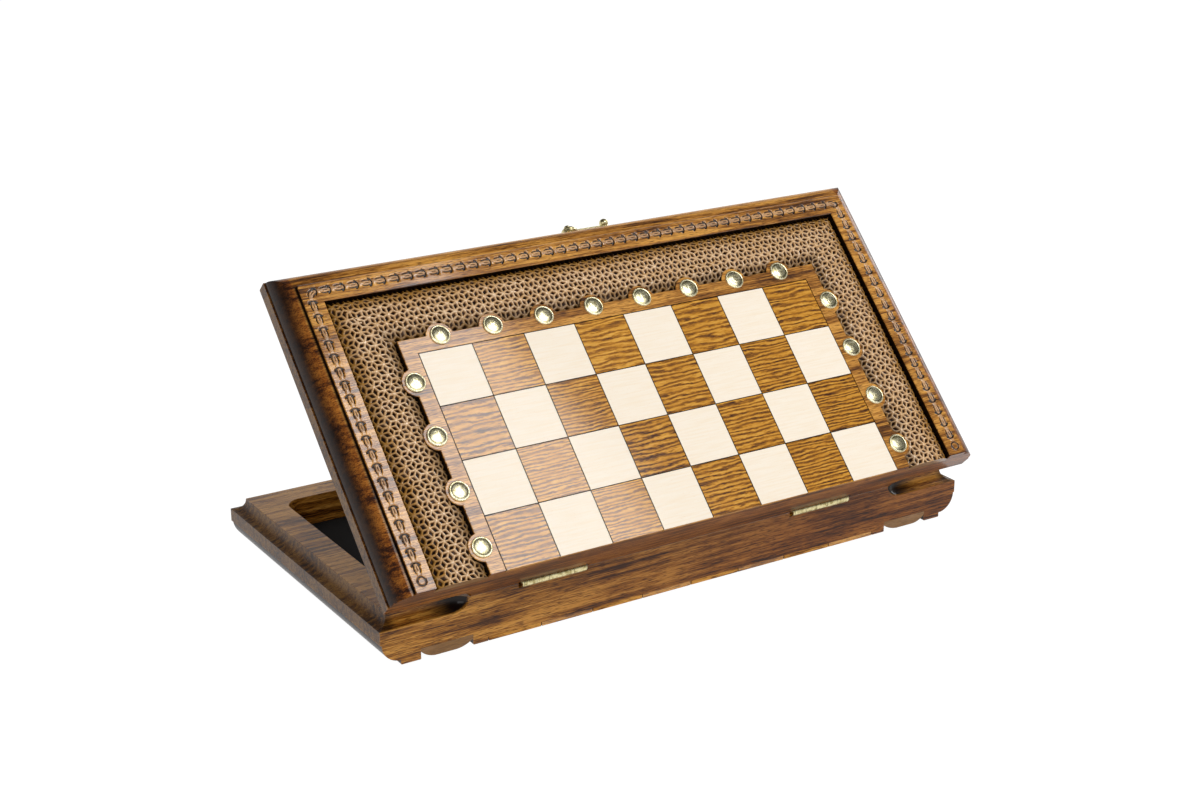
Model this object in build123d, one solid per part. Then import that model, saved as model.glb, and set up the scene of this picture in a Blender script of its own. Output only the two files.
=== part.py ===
from build123d import *

import os
from math import cos, hypot, radians, sin, sqrt

# Folding chess box: two equal wooden trays, hinged along one long edge. The outer faces of the
# trays carry the two halves of the board. The base lies on its board face, on the heads of its
# brass studs, and the lid stands open.
#
# Millimetres and degrees. A tray is drawn in its own frame, lying on its board face:
#   u  along the hinge, v  away from the hinge, w  from the board face up to the rim.
# The hinge axis is the line v = 0, w = AXIS_HEIGHT. Both trays are the same piece of work; the
# lid is the tray turned over onto the base and then opened.

# ---------------------------------------------------------------- driving dimensions

SQUARE = 42.0            # side of one square of the board
COLUMNS = 8
ROWS = 4                 # rows of squares on each half
LINE_WIDTH = 0.7         # groove between two squares
SQUARE_DEPTH = 3.0       # thickness of the inlaid squares
FIELD_MARGIN = 12.0      # plain wood between the squares and the carved border
BORDER_WIDTH = 40.0      # carved border
BAND_WIDTH = 15.0        # flat band outside the border
MOULD_WIDTH = 15.0       # moulded edge outside the band
HINGE_TRIM = 1.1         # planed off the row of squares at the hinge edge
TRAY_HEIGHT = 36.5       # board face to rim
OPEN_ANGLE = 45.0        # how far the lid stands open

PANEL_THICKNESS = 12.5   # board face to the floor of the tray
HINGE_WALL = 20.0        # thickness of the wall at the hinge
CAVITY_CORNER = 13.0     # corner radius of the tray's inside
LINING_THICKNESS = 1.0
LINING_GAP = 0.2

STRIP_LOW = 17.5         # the upright strip of the edge: its lower and its upper arris
STRIP_HIGH = 27.2
OVOLO_RADIUS = 14.0      # convex moulding below the strip
COVE_RADIUS = 9.0        # hollow between the strip and the rim
COVE_END = 52.0          # where the cutter of the hollow stops on the hinge wall
CUTTER_OFFSET = 10.0     # axis of that cutter, outside the hinge wall

BORDER_SEAT = 8.0        # depth of the groove that holds the carved border
BORDER_EDGE = 5.5        # how far the border's outer edge lies below the board face
BORDER_CROWN = 0.3       # and its crown
BORDER_SINK = 5.0        # and its inner edge, beside the field
BORDER_RISE = 12.0       # width of the rise from the outer edge to the crown
BORDER_FALL = 14.0       # width of the fall from the crown to the inner edge
NET_PITCH = 15.28        # star to star of the net's main ribs, twice that of the finest carving
NET_FIRST_ROW = 4.4      # outer edge of the border to the first row of stars
NET_ROWS = 3
NET_RIB = 2.2            # width of a rib
NET_DEPTH = 1.5          # depth of the pits between the ribs
NET_MARGIN = 1.0         # wood left between a pit and the edges, mitres and bosses

BOSS_RADIUS = 10.7       # round bosses on the edge of the field, under the studs
BOSS_INSET = 2.2         # their centres, inside the edge of the field
STUD_INSET = 1.2         # and those of the studs
STUD_RADIUS = 7.6
STUD_HEIGHT = 2.2
STUD_EDGE = 0.5          # upright edge of a stud's head
STUD_CROWN_RADIUS = 2.0  # flat crown that the stud stands on
STUD_SHANK_RADIUS = 1.5
STUD_SHANK = 7.0

RIM_GAP = 0.15           # each rim stays this far from the plane of the hinge axis
WALL_GAP = 0.15          # each hinge wall stays this far from the axis when the box lies flat
HINGE_FROM_END = 134.0   # centre of a hinge, from the near end of the box
HINGE_LENGTH = 50.0
KNUCKLES = 5
KNUCKLE_RADIUS = 2.9
KNUCKLE_GAP = 0.15       # half of the gap between two knuckles
KNUCKLE_CLEARANCE = 0.45
NOTCH_MARGIN = 3.0       # the notch in the walls is this much longer than the hinge, each end
LEAF_DEPTH = 16.0
LEAF_THICKNESS = 1.2
PIN_RADIUS = 1.1
PIN_FIT = 0.05           # running clearance of the lid's knuckles on the pin
PIN_HEAD_LENGTH = 1.2
SCREW_SPACING = 17.0
SCREW_FROM_AXIS = 10.0
SCREW_SHANK_RADIUS = 1.3
SCREW_HEAD_RADIUS = 2.5
SCREW_LENGTH = 9.0

CLASP_FROM_RIM = 14.5    # pivot and catch, from the rim of their tray
CLASP_SCREW_RADIUS = 1.55
CLASP_SCREW_DEPTH = 9.0
WASHER_RADIUS = 5.0
WASHER_THICKNESS = 1.2
HOOK_THICKNESS = 1.6
HOOK_FIT = 0.05          # running clearance of the hook on its screw
HOOK_REACH = 32.3        # pivot to ball
HOOK_EYE_RADIUS = 6.7
HOOK_ARM_WIDTH = 5.0
HOOK_BALL_RADIUS = 3.4
HOOK_JAW_WIDTH = 9.0
HOOK_SLOT_RADIUS = 1.9   # half the width of the slot that takes the catch
HOOK_SLOT_ANGLE = 22.0   # from the line of the ball to the closed end of the slot
HOOK_JAW_ANGLE = 34.0    # from the line of the ball to the open end of the slot
HEAD_CLEARANCE = 0.1     # pivot head above the hook
PIVOT_HEAD_RADIUS = 5.5
PIVOT_HEAD_HEIGHT = 2.8
PIVOT_NUB_RADIUS = 2.4   # small knob on the head of the pivot
PIVOT_NUB_HEIGHT = 2.4
CATCH_NECK_RADIUS = 1.5
CATCH_COLLAR_RADIUS = 2.6
CATCH_COLLAR_HEIGHT = 1.0
CATCH_NECK_TOP = 3.1     # far wall to the underside of the catch's head
CATCH_HEAD_RADIUS = 2.8
CATCH_HEAD_HEIGHT = 1.5

CHAIN_INSET = 21.5       # middle of the sunk path of the carved chain, from the edge of the tray
CHAIN_WIDTH = 8.0
CHAIN_DEPTH = 0.9
CHAIN_START = 2.4        # hinge edge to the round ends of the path
CHAIN_BEND = 5.0         # radius of its bends, at the middle of the path
ARRIS = 0.4              # bevel along the edges of the field and of the band

OVERCUT = 1.0            # a cut starts and ends this far outside the wood

# ---------------------------------------------------------------- derived dimensions

BAND_INSET = MOULD_WIDTH
BORDER_INSET = BAND_INSET + BAND_WIDTH
FIELD_INSET = BORDER_INSET + BORDER_WIDTH
BOARD_INSET = FIELD_INSET + FIELD_MARGIN
LENGTH = COLUMNS * SQUARE + 2 * BOARD_INSET
BOARD_FAR = ROWS * SQUARE - HINGE_TRIM
FIELD_FAR = BOARD_FAR + FIELD_MARGIN
BORDER_FAR = FIELD_FAR + BORDER_WIDTH
WIDTH = BORDER_FAR + BORDER_INSET

AXIS_HEIGHT = TRAY_HEIGHT + RIM_GAP
CLASP_U = LENGTH / 2
CAVITY_FAR = BORDER_FAR
CLASP_SPAN = 2 * (CLASP_FROM_RIM + RIM_GAP)
CATCH_TOP = CATCH_NECK_TOP + CATCH_HEAD_HEIGHT

# The row's origin is the middle of the footprint, with the lid open, on the standing surface.
# The lid's board face at its hinge wall reaches nearest, the head of the catch reaches furthest.
NEAR_REACH = WALL_GAP * cos(radians(OPEN_ANGLE)) - AXIS_HEIGHT * sin(radians(OPEN_ANGLE))
FAR_REACH = WIDTH + CATCH_TOP
ORIGIN_V = (NEAR_REACH + FAR_REACH) / 2

# ---------------------------------------------------------------- helpers


def block(low, high):
    """A box between two corners."""
    size = Vector(*high) - Vector(*low)
    centre = (Vector(*high) + Vector(*low)) / 2
    return Pos(centre.X, centre.Y, centre.Z) * Box(size.X, size.Y, size.Z)


def panel(low, high):
    """A flat rectangle between two corners of the board face."""
    centre = ((low[0] + high[0]) / 2, (low[1] + high[1]) / 2)
    return Pos(*centre) * Rectangle(high[0] - low[0], high[1] - low[1])


def run_along(section, corner, inward, length):
    """Carries a section, drawn as inset and height, along a side, starting at a corner."""
    inward = Vector(*inward)
    along = inward.cross(Vector(0, 0, 1))
    plane = Plane(origin=Vector(*corner), x_dir=inward, z_dir=along)
    return extrude(plane * section, amount=length)


def axis_rod(radius, start, end):
    """A cylinder round the hinge axis."""
    middle = (start + end) / 2
    return Pos(middle, 0, AXIS_HEIGHT) * Rot(0, 90, 0) * Cylinder(radius, end - start)


def rod(radius, low, high):
    """An upright cylinder between two heights."""
    return Pos(0, 0, (low + high) / 2) * Cylinder(radius, high - low)


def dome(radius, height, edge, crown=0.0):
    """A low round head: an upright edge, a domed top, and a flat crown where one is asked for."""
    top = TangentArc((crown, height), (radius, edge), tangent=(1, 0))
    start = Polyline((crown, height), (0, height), (0, 0)) if crown else Line((0, height), (0, 0))
    foot = Polyline((0, 0), (radius, 0), (radius, edge))
    return revolve(Plane.XZ * make_face(Curve() + [start, foot, top]), axis=Axis.Z)


def group(shapes):
    """Separate solids kept together as one sub-part, also where they touch."""
    return Compound([solid for shape in shapes for solid in shape.solids()])


def hinge_centres():
    """The middle of each hinge, along the box."""
    return {"left": HINGE_FROM_END, "right": LENGTH - HINGE_FROM_END}


def screw_places(centre):
    """Where the screws of one leaf stand."""
    return [(centre + step * SCREW_SPACING, SCREW_FROM_AXIS) for step in (-1, 0, 1)]


def edge_places(inset):
    """Points inside the edge of the field: one per column on the far side, one per row each side."""
    columns = [BOARD_INSET + (column + 0.5) * SQUARE for column in range(COLUMNS)]
    rows = [(row + 0.5) * SQUARE - HINGE_TRIM for row in range(ROWS)]
    far = [(u, FIELD_FAR - inset) for u in columns]
    left = [(FIELD_INSET + inset, v) for v in rows]
    right = [(LENGTH - FIELD_INSET - inset, v) for v in rows]
    return far + left + right


# ---------------------------------------------------------------- the wooden tray


def ovolo_waste():
    """Section of the wood cut away below the strip: a step and a convex quarter round."""
    diagonal = OVOLO_RADIUS * sin(radians(45))
    top = (MOULD_WIDTH - OVOLO_RADIUS, STRIP_LOW)
    foot = (MOULD_WIDTH, STRIP_LOW - OVOLO_RADIUS)
    middle = (MOULD_WIDTH - diagonal, STRIP_LOW - diagonal)
    outside = Polyline(
        foot, (MOULD_WIDTH, -OVERCUT), (-OVERCUT, -OVERCUT), (-OVERCUT, STRIP_LOW), top
    )
    return make_face(Curve() + [outside, ThreePointArc(top, middle, foot)])


def cove_outline(offset):
    """Section cut away above the strip, a hollow quarter round, from -offset outwards."""
    centre_height = STRIP_HIGH + COVE_RADIUS
    diagonal = COVE_RADIUS * sin(radians(45))
    arris = (offset, STRIP_HIGH)
    rim_edge = (offset + COVE_RADIUS, centre_height)
    hollow = ThreePointArc(arris, (offset + diagonal, centre_height - diagonal), rim_edge)
    return arris, rim_edge, hollow


def cove_waste():
    """The hollow's section along a side, open to the outside."""
    top = TRAY_HEIGHT + OVERCUT
    arris, rim_edge, hollow = cove_outline(0.0)
    outside = Polyline(
        rim_edge, (COVE_RADIUS, top), (-OVERCUT, top), (-OVERCUT, STRIP_HIGH), arris
    )
    return make_face(Curve() + [hollow, outside])


def cove_scoop(u):
    """The round end that the cutter leaves where the hollow stops on the hinge wall."""
    top = TRAY_HEIGHT + OVERCUT
    arris, rim_edge, hollow = cove_outline(CUTTER_OFFSET)
    core = Polyline(rim_edge, (rim_edge[0], top), (0, top), (0, STRIP_HIGH), arris)
    cutter = revolve(Plane.XZ * make_face(Curve() + [hollow, core]), axis=Axis.Z)
    return Pos(u, -CUTTER_OFFSET, 0) * cutter


def field():
    """The scalloped board field: a plain rectangle with a boss under each stud."""
    outline = panel((FIELD_INSET, -OVERCUT), (LENGTH - FIELD_INSET, FIELD_FAR))
    for u, v in edge_places(BOSS_INSET):
        outline += Pos(u, v) * Circle(BOSS_RADIUS)
    return outline


def chain_path():
    """The sunk path of the carved chain, round three sides of the band, with round ends."""
    start, far = CHAIN_START + CHAIN_WIDTH / 2, WIDTH - CHAIN_INSET
    across, deep = LENGTH - 2 * CHAIN_INSET, 2 * (far - start)
    outer, inner = (
        RectangleRounded(across + grow, deep + grow, CHAIN_BEND + grow / 2)
        for grow in (CHAIN_WIDTH, -CHAIN_WIDTH)
    )
    path = Pos(LENGTH / 2, start) * (outer - inner) & panel((0, start), (LENGTH, WIDTH))
    for u in (CHAIN_INSET, LENGTH - CHAIN_INSET):
        path += Pos(u, start) * Circle(CHAIN_WIDTH / 2)
    return path


def worn_edges(wood):
    """The edges on the board face that are bevelled: those of the band and of the field."""
    lines_u = [
        place for inset in (BAND_INSET, BORDER_INSET, FIELD_INSET) for place in (inset, LENGTH - inset)
    ]
    lines_v = [WIDTH - BAND_INSET, BORDER_FAR, FIELD_FAR]
    edges = []
    for edge in wood.edges():
        box = edge.bounding_box()
        if box.max.Z > 0.01 or box.min.Z < -0.01:
            continue
        if edge.geom_type == GeomType.CIRCLE:
            worn = abs(edge.radius - BOSS_RADIUS) < 0.01
        elif box.size.X < box.size.Y:
            worn = any(abs(box.min.X - place) < 0.01 for place in lines_u)
        else:
            worn = any(abs(box.min.Y - place) < 0.01 for place in lines_v)
        if worn:
            edges.append(edge)
    return edges


def cavity_outline(gap=0.0):
    """The inside of the tray, seen from above."""
    low = (BORDER_INSET + gap, HINGE_WALL + gap)
    high = (LENGTH - BORDER_INSET - gap, CAVITY_FAR - gap)
    centre = ((low[0] + high[0]) / 2, (low[1] + high[1]) / 2)
    return Pos(*centre) * RectangleRounded(high[0] - low[0], high[1] - low[1], CAVITY_CORNER - gap)


def moulded_block():
    """The tray's block with its moulded edge on three sides and the hollow turned onto the fourth."""
    wood = block((0, WALL_GAP, 0), (LENGTH, WIDTH, TRAY_HEIGHT))
    for waste in (ovolo_waste(), cove_waste()):
        wood -= run_along(waste, (0, WIDTH + OVERCUT, 0), (1, 0, 0), WIDTH + 2 * OVERCUT)
        wood -= run_along(waste, (LENGTH, -OVERCUT, 0), (-1, 0, 0), WIDTH + 2 * OVERCUT)
        wood -= run_along(waste, (LENGTH + OVERCUT, WIDTH, 0), (0, -1, 0), LENGTH + 2 * OVERCUT)
    for start, scoop in ((-OVERCUT, COVE_END), (LENGTH - COVE_END, LENGTH - COVE_END)):
        wood -= run_along(cove_waste(), (start, 0, 0), (0, 1, 0), COVE_END + OVERCUT)
        wood -= cove_scoop(scoop)
    return wood


def tray_case():
    """The wooden tray: walls, panel, and the seats of everything that is let into it."""
    wood = moulded_block()
    wood -= Pos(0, 0, PANEL_THICKNESS) * extrude(cavity_outline(), amount=TRAY_HEIGHT)

    border = panel((BORDER_INSET, -OVERCUT), (LENGTH - BORDER_INSET, BORDER_FAR)) - field()
    wood -= Pos(0, 0, -OVERCUT) * extrude(border, amount=BORDER_SEAT + OVERCUT)
    wood = chamfer(worn_edges(wood), ARRIS)
    wood -= Pos(0, 0, -OVERCUT) * extrude(chain_path(), amount=CHAIN_DEPTH + OVERCUT)

    half_line = LINE_WIDTH / 2
    wood -= block(
        (BOARD_INSET - half_line, -OVERCUT, -OVERCUT),
        (LENGTH - BOARD_INSET + half_line, BOARD_FAR + half_line, SQUARE_DEPTH),
    )
    for u, v in edge_places(STUD_INSET):
        wood -= Pos(u, v) * rod(STUD_SHANK_RADIUS, -OVERCUT, STUD_SHANK)

    for centre in hinge_centres().values():
        half = HINGE_LENGTH / 2
        wood -= block(
            (centre - half, -OVERCUT, TRAY_HEIGHT - LEAF_THICKNESS),
            (centre + half, LEAF_DEPTH, TRAY_HEIGHT + OVERCUT),
        )
        notch = KNUCKLE_RADIUS + KNUCKLE_CLEARANCE
        wood -= axis_rod(notch, centre - half - NOTCH_MARGIN, centre + half + NOTCH_MARGIN)
        for u, v in screw_places(centre):
            wood -= Pos(u, v) * rod(SCREW_SHANK_RADIUS, TRAY_HEIGHT - SCREW_LENGTH, TRAY_HEIGHT)
    return wood


def border_section(drop, level):
    """The border's section: a quick rise, a level crown, and a long fall towards the field.

    It lies between that profile, lowered by drop, and a flat at the given level.
    """
    edge, high, sink = BORDER_EDGE + drop, BORDER_CROWN + drop, BORDER_SINK + drop
    fall_start = BORDER_WIDTH - BORDER_FALL
    rise = TangentArc((BORDER_RISE, high), (0, edge), tangent=(-1, 0))
    crown = Line((BORDER_RISE, high), (fall_start, high))
    fall = TangentArc((fall_start, high), (BORDER_WIDTH, sink), tangent=(1, 0))
    flat = Polyline((BORDER_WIDTH, sink), (BORDER_WIDTH, level), (0, level), (0, edge))
    return make_face(Curve() + [rise, crown, fall, flat])


def net_pit(along, inset, turn):
    """Corners of one pit of the net: a rhombus between two stars, less half a rib all round."""
    half_long, half_short = NET_PITCH / 2, NET_PITCH / (2 * sqrt(3))
    share = 1 - NET_RIB / 2 * hypot(half_long, half_short) / (half_long * half_short)
    a, b = half_long * share, half_short * share
    return [
        (along + x * cos(turn) - y * sin(turn), inset + x * sin(turn) + y * cos(turn))
        for x, y in ((a, 0), (0, b), (-a, 0), (0, -b))
    ]


def net_pits(length):
    """The pits on a length of border, as (along, inset): three to each star, 60 degrees apart."""
    half, row_gap = NET_PITCH / 2, NET_PITCH * sqrt(3) / 2
    pits = []
    for row in range(NET_ROWS):
        inset = NET_FIRST_ROW + row * row_gap
        for column in range(int(length / NET_PITCH) + 1):
            along = column * NET_PITCH + row % 2 * half
            for turn in (0, radians(60), radians(120)):
                pits.append(net_pit(along + half * cos(turn), inset + half * sin(turn), turn))
    return pits


def net_waste(zone, place, start, end):
    """The wood cut out of the pits of one length, whose start and end depend on the inset."""
    waste = []
    for pit in net_pits(end(0)):
        corners = [place(along, inset) for along, inset in pit]
        inside = all(
            start(inset) + NET_MARGIN < along < end(inset) - NET_MARGIN
            and NET_MARGIN < inset < BORDER_WIDTH - NET_MARGIN
            for along, inset in pit
        )
        free = all(
            hypot(u - boss_u, v - boss_v) > BOSS_RADIUS + NET_MARGIN
            for u, v in corners for boss_u, boss_v in edge_places(BOSS_INSET)
        )
        if inside and free:
            outline = Polygon(*corners, align=None)
            waste.append(extrude(outline, amount=BORDER_SEAT, dir=(0, 0, 1)) & zone)
    return waste


def carved_border():
    """Three mitred lengths of border, cut to fit round the bosses, with the net's main ribs."""
    section = border_section(0, BORDER_SEAT)
    waste = border_section(NET_DEPTH, -OVERCUT)
    left, right = BORDER_INSET, LENGTH - BORDER_INSET
    inner_left, inner_right = FIELD_INSET, LENGTH - FIELD_INSET

    def side_end(inset):
        return BORDER_FAR - inset

    strips = (
        (
            ((left, BORDER_FAR, 0), (1, 0, 0), BORDER_FAR - WALL_GAP),
            Polygon(
                (left, 0), (inner_left, 0), (inner_left, FIELD_FAR), (left, BORDER_FAR), align=None
            ),
            (lambda along, inset: (left + inset, along), lambda inset: WALL_GAP, side_end),
        ),
        (
            ((right, BORDER_FAR, 0), (0, -1, 0), right - left),
            Polygon(
                (left, BORDER_FAR), (inner_left, FIELD_FAR),
                (inner_right, FIELD_FAR), (right, BORDER_FAR), align=None
            ),
            (
                lambda along, inset: (along, BORDER_FAR - inset),
                lambda inset: left + inset, lambda inset: right - inset,
            ),
        ),
        (
            ((right, WALL_GAP, 0), (-1, 0, 0), BORDER_FAR - WALL_GAP),
            Polygon(
                (right, 0), (right, BORDER_FAR), (inner_right, FIELD_FAR), (inner_right, 0),
                align=None
            ),
            (lambda along, inset: (right - inset, along), lambda inset: WALL_GAP, side_end),
        ),
    )
    core = extrude(field(), amount=BORDER_SEAT)
    lengths = []
    for run, plan, pits in strips:
        length = (run_along(section, *run) & extrude(plan, amount=BORDER_SEAT)) - core
        lengths.append(length - net_waste(run_along(waste, *run), *pits))
    return group(lengths)


def squares(parity):
    """The inlaid squares whose column and row add up to an even (0) or an odd (1) number."""
    half_line = LINE_WIDTH / 2
    tiles = []
    for column in range(COLUMNS):
        for row in range(ROWS):
            if (column + row) % 2 != parity:
                continue
            u = BOARD_INSET + column * SQUARE
            v = row * SQUARE - HINGE_TRIM
            low = (u + half_line, max(v + half_line, WALL_GAP), 0)
            high = (u + SQUARE - half_line, v + SQUARE - half_line, SQUARE_DEPTH)
            tiles.append(block(low, high))
    return group(tiles)


def studs():
    """Brass studs with low domed heads; those of the base are its feet."""
    head = Rot(180, 0, 0) * dome(STUD_RADIUS, STUD_HEIGHT, STUD_EDGE, STUD_CROWN_RADIUS)
    stud = head + rod(STUD_SHANK_RADIUS, 0, STUD_SHANK)
    return group(Pos(u, v) * stud for u, v in edge_places(STUD_INSET))


def lining():
    """The lining that lies on the floor of the tray."""
    return Pos(0, 0, PANEL_THICKNESS) * extrude(cavity_outline(LINING_GAP), amount=LINING_THICKNESS)


# ---------------------------------------------------------------- hinges


def hinge_leaf(centre, own, fit):
    """A leaf let into the rim, with its own knuckles and room for those of the other leaf."""
    start = centre - HINGE_LENGTH / 2
    step = HINGE_LENGTH / KNUCKLES
    leaf = block(
        (start, 0, TRAY_HEIGHT - LEAF_THICKNESS), (start + HINGE_LENGTH, LEAF_DEPTH, TRAY_HEIGHT)
    )
    for index in range(KNUCKLES):
        if index not in own:
            near = start + index * step - KNUCKLE_GAP
            far = start + (index + 1) * step + KNUCKLE_GAP
            leaf -= axis_rod(KNUCKLE_RADIUS + KNUCKLE_CLEARANCE, near, far)
    for index in own:
        near = start + index * step + KNUCKLE_GAP
        leaf += axis_rod(KNUCKLE_RADIUS, near, near + step - 2 * KNUCKLE_GAP)
    leaf -= axis_rod(PIN_RADIUS + fit, start - OVERCUT, start + HINGE_LENGTH + OVERCUT)
    for u, v in screw_places(centre):
        leaf -= Pos(u, v) * screw_head()
    return leaf


def screw_head():
    """The countersunk head of a hinge screw, flush with the leaf."""
    middle = TRAY_HEIGHT - LEAF_THICKNESS / 2
    return Pos(0, 0, middle) * Cone(SCREW_SHANK_RADIUS, SCREW_HEAD_RADIUS, LEAF_THICKNESS)


def hinge_screws():
    """All the screws of one side of the two hinges."""
    shank = rod(SCREW_SHANK_RADIUS, TRAY_HEIGHT - SCREW_LENGTH, TRAY_HEIGHT - LEAF_THICKNESS)
    screw = screw_head() + shank
    places = [place for centre in hinge_centres().values() for place in screw_places(centre)]
    return group(Pos(u, v) * screw for u, v in places)


def hinge_pin(centre):
    """A pin through all the knuckles, with a head at each end."""
    half = HINGE_LENGTH / 2
    pin = axis_rod(PIN_RADIUS, centre - half - PIN_HEAD_LENGTH, centre + half + PIN_HEAD_LENGTH)
    pin += axis_rod(KNUCKLE_RADIUS, centre - half - PIN_HEAD_LENGTH, centre - half)
    pin += axis_rod(KNUCKLE_RADIUS, centre + half, centre + half + PIN_HEAD_LENGTH)
    return pin


# ---------------------------------------------------------------- clasp


def on_far_wall(shape, height):
    """Stands a shape, drawn with +z outwards and +y down, on the far wall of the closed box."""
    plane = Plane(origin=(CLASP_U, WIDTH, height), x_dir=(1, 0, 0), z_dir=(0, 1, 0))
    return plane.location * shape


def ring_sector(radius, width, start, end):
    """A flat stretch of a ring about the pivot, between two angles."""
    ring = Circle(radius + width / 2) - Circle(radius - width / 2)
    reach = 2 * radius
    corners = [
        (reach * cos(radians(angle)), reach * sin(radians(angle)))
        for angle in (start, (start + end) / 2, end)
    ]
    return ring & Polygon((0, 0), *corners, align=None)


def clasp_hook():
    """The swinging hook: eye, arm, ball, and a jaw whose slot runs onto the neck of the catch."""
    slot_end = (
        CLASP_SPAN * cos(radians(HOOK_SLOT_ANGLE)), CLASP_SPAN * sin(radians(HOOK_SLOT_ANGLE))
    )
    outline = Circle(HOOK_EYE_RADIUS)
    outline += Pos(HOOK_REACH / 2, 0) * Rectangle(HOOK_REACH, HOOK_ARM_WIDTH)
    outline += Pos(HOOK_REACH, 0) * Circle(HOOK_ARM_WIDTH / 2)
    outline += ring_sector(CLASP_SPAN, HOOK_JAW_WIDTH, 0, HOOK_JAW_ANGLE)
    outline -= ring_sector(
        CLASP_SPAN, 2 * HOOK_SLOT_RADIUS, HOOK_SLOT_ANGLE, HOOK_JAW_ANGLE + HOOK_SLOT_ANGLE
    )
    outline -= Pos(*slot_end) * Circle(HOOK_SLOT_RADIUS)
    outline -= Circle(CLASP_SCREW_RADIUS + HOOK_FIT)
    plate = extrude(outline, amount=HOOK_THICKNESS)
    ball_height = HOOK_THICKNESS + 0.8 * HOOK_BALL_RADIUS
    hook = plate + Pos(HOOK_REACH, 0, ball_height) * Sphere(HOOK_BALL_RADIUS)
    return Pos(0, 0, WASHER_THICKNESS) * (hook - rod(2 * HOOK_BALL_RADIUS, -HOOK_REACH, 0))


def clasp_washer():
    """A washer between the hook and the wall of the lid."""
    return rod(WASHER_RADIUS, 0, WASHER_THICKNESS) - rod(CLASP_SCREW_RADIUS, 0, WASHER_THICKNESS)


def clasp_pivot():
    """The screw that the hook turns on: a domed head with a small knob on it."""
    head_foot = WASHER_THICKNESS + HOOK_THICKNESS + HEAD_CLEARANCE
    head = dome(PIVOT_HEAD_RADIUS, PIVOT_HEAD_HEIGHT, PIVOT_HEAD_HEIGHT / 2, PIVOT_NUB_RADIUS)
    nub = dome(PIVOT_NUB_RADIUS, PIVOT_NUB_HEIGHT, PIVOT_NUB_HEIGHT / 2)
    head += Pos(0, 0, PIVOT_HEAD_HEIGHT) * nub
    return rod(CLASP_SCREW_RADIUS, -CLASP_SCREW_DEPTH, head_foot) + Pos(0, 0, head_foot) * head


def clasp_catch():
    """The headed stud in the far wall of the base that the hook runs onto."""
    stud = rod(CATCH_NECK_RADIUS, -CLASP_SCREW_DEPTH, CATCH_NECK_TOP)
    stud += rod(CATCH_COLLAR_RADIUS, 0, CATCH_COLLAR_HEIGHT)
    head = dome(CATCH_HEAD_RADIUS, CATCH_HEAD_HEIGHT, CATCH_HEAD_HEIGHT / 3)
    return stud + Pos(0, 0, CATCH_NECK_TOP) * head


# ---------------------------------------------------------------- places


TO_ROW = Pos(-LENGTH / 2, -ORIGIN_V, STUD_HEIGHT)
TURN_OVER = Pos(LENGTH / 2, 0, AXIS_HEIGHT) * Rot(0, 180, 0) * Pos(-LENGTH / 2, 0, -AXIS_HEIGHT)
OPEN_LID = TO_ROW * Pos(0, 0, AXIS_HEIGHT) * Rot(OPEN_ANGLE, 0, 0) * Pos(0, 0, -AXIS_HEIGHT)


def build():
    """All the pieces of the box, by name, in the row's frame."""
    case = tray_case()
    catch_height = TRAY_HEIGHT - CLASP_FROM_RIM
    pivot_height = AXIS_HEIGHT + RIM_GAP + CLASP_FROM_RIM
    catch_hole = on_far_wall(rod(CATCH_NECK_RADIUS, -CLASP_SCREW_DEPTH, OVERCUT), catch_height)
    pivot_hole = on_far_wall(rod(CLASP_SCREW_RADIUS, -CLASP_SCREW_DEPTH, OVERCUT), pivot_height)
    tray_pieces = {
        "carved_border": carved_border(),
        "light_squares": squares(0),
        "dark_squares": squares(1),
        "studs": studs(),
        "lining": lining(),
        "hinge_screws": hinge_screws(),
    }
    pieces = {
        "base_case": TO_ROW * (case - catch_hole),
        "lid_case": OPEN_LID * (TURN_OVER * case - pivot_hole),
        "clasp_catch": TO_ROW * on_far_wall(clasp_catch(), catch_height),
        "clasp_washer": OPEN_LID * on_far_wall(clasp_washer(), pivot_height),
        "clasp_pivot_screw": OPEN_LID * on_far_wall(clasp_pivot(), pivot_height),
        "clasp_hook": OPEN_LID * on_far_wall(clasp_hook(), pivot_height),
    }
    for name, piece in tray_pieces.items():
        pieces["base_" + name] = TO_ROW * piece
        pieces["lid_" + name] = OPEN_LID * TURN_OVER * piece
    for side, centre in hinge_centres().items():
        pieces["base_leaf_" + side] = TO_ROW * hinge_leaf(centre, (0, 2, 4), 0.0)
        pieces["lid_leaf_" + side] = OPEN_LID * TURN_OVER * hinge_leaf(
            LENGTH - centre, (1, 3), PIN_FIT
        )
        pieces["hinge_pin_" + side] = TO_ROW * hinge_pin(centre)
    return pieces


os.makedirs("parts", exist_ok=True)
for node, shape in build().items():
    export_step(shape, "parts/" + node + ".step")
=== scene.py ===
import logging
from collections.abc import Callable
from dataclasses import dataclass, field
from enum import Enum
from math import cos, pi, radians, sin, sqrt

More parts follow.
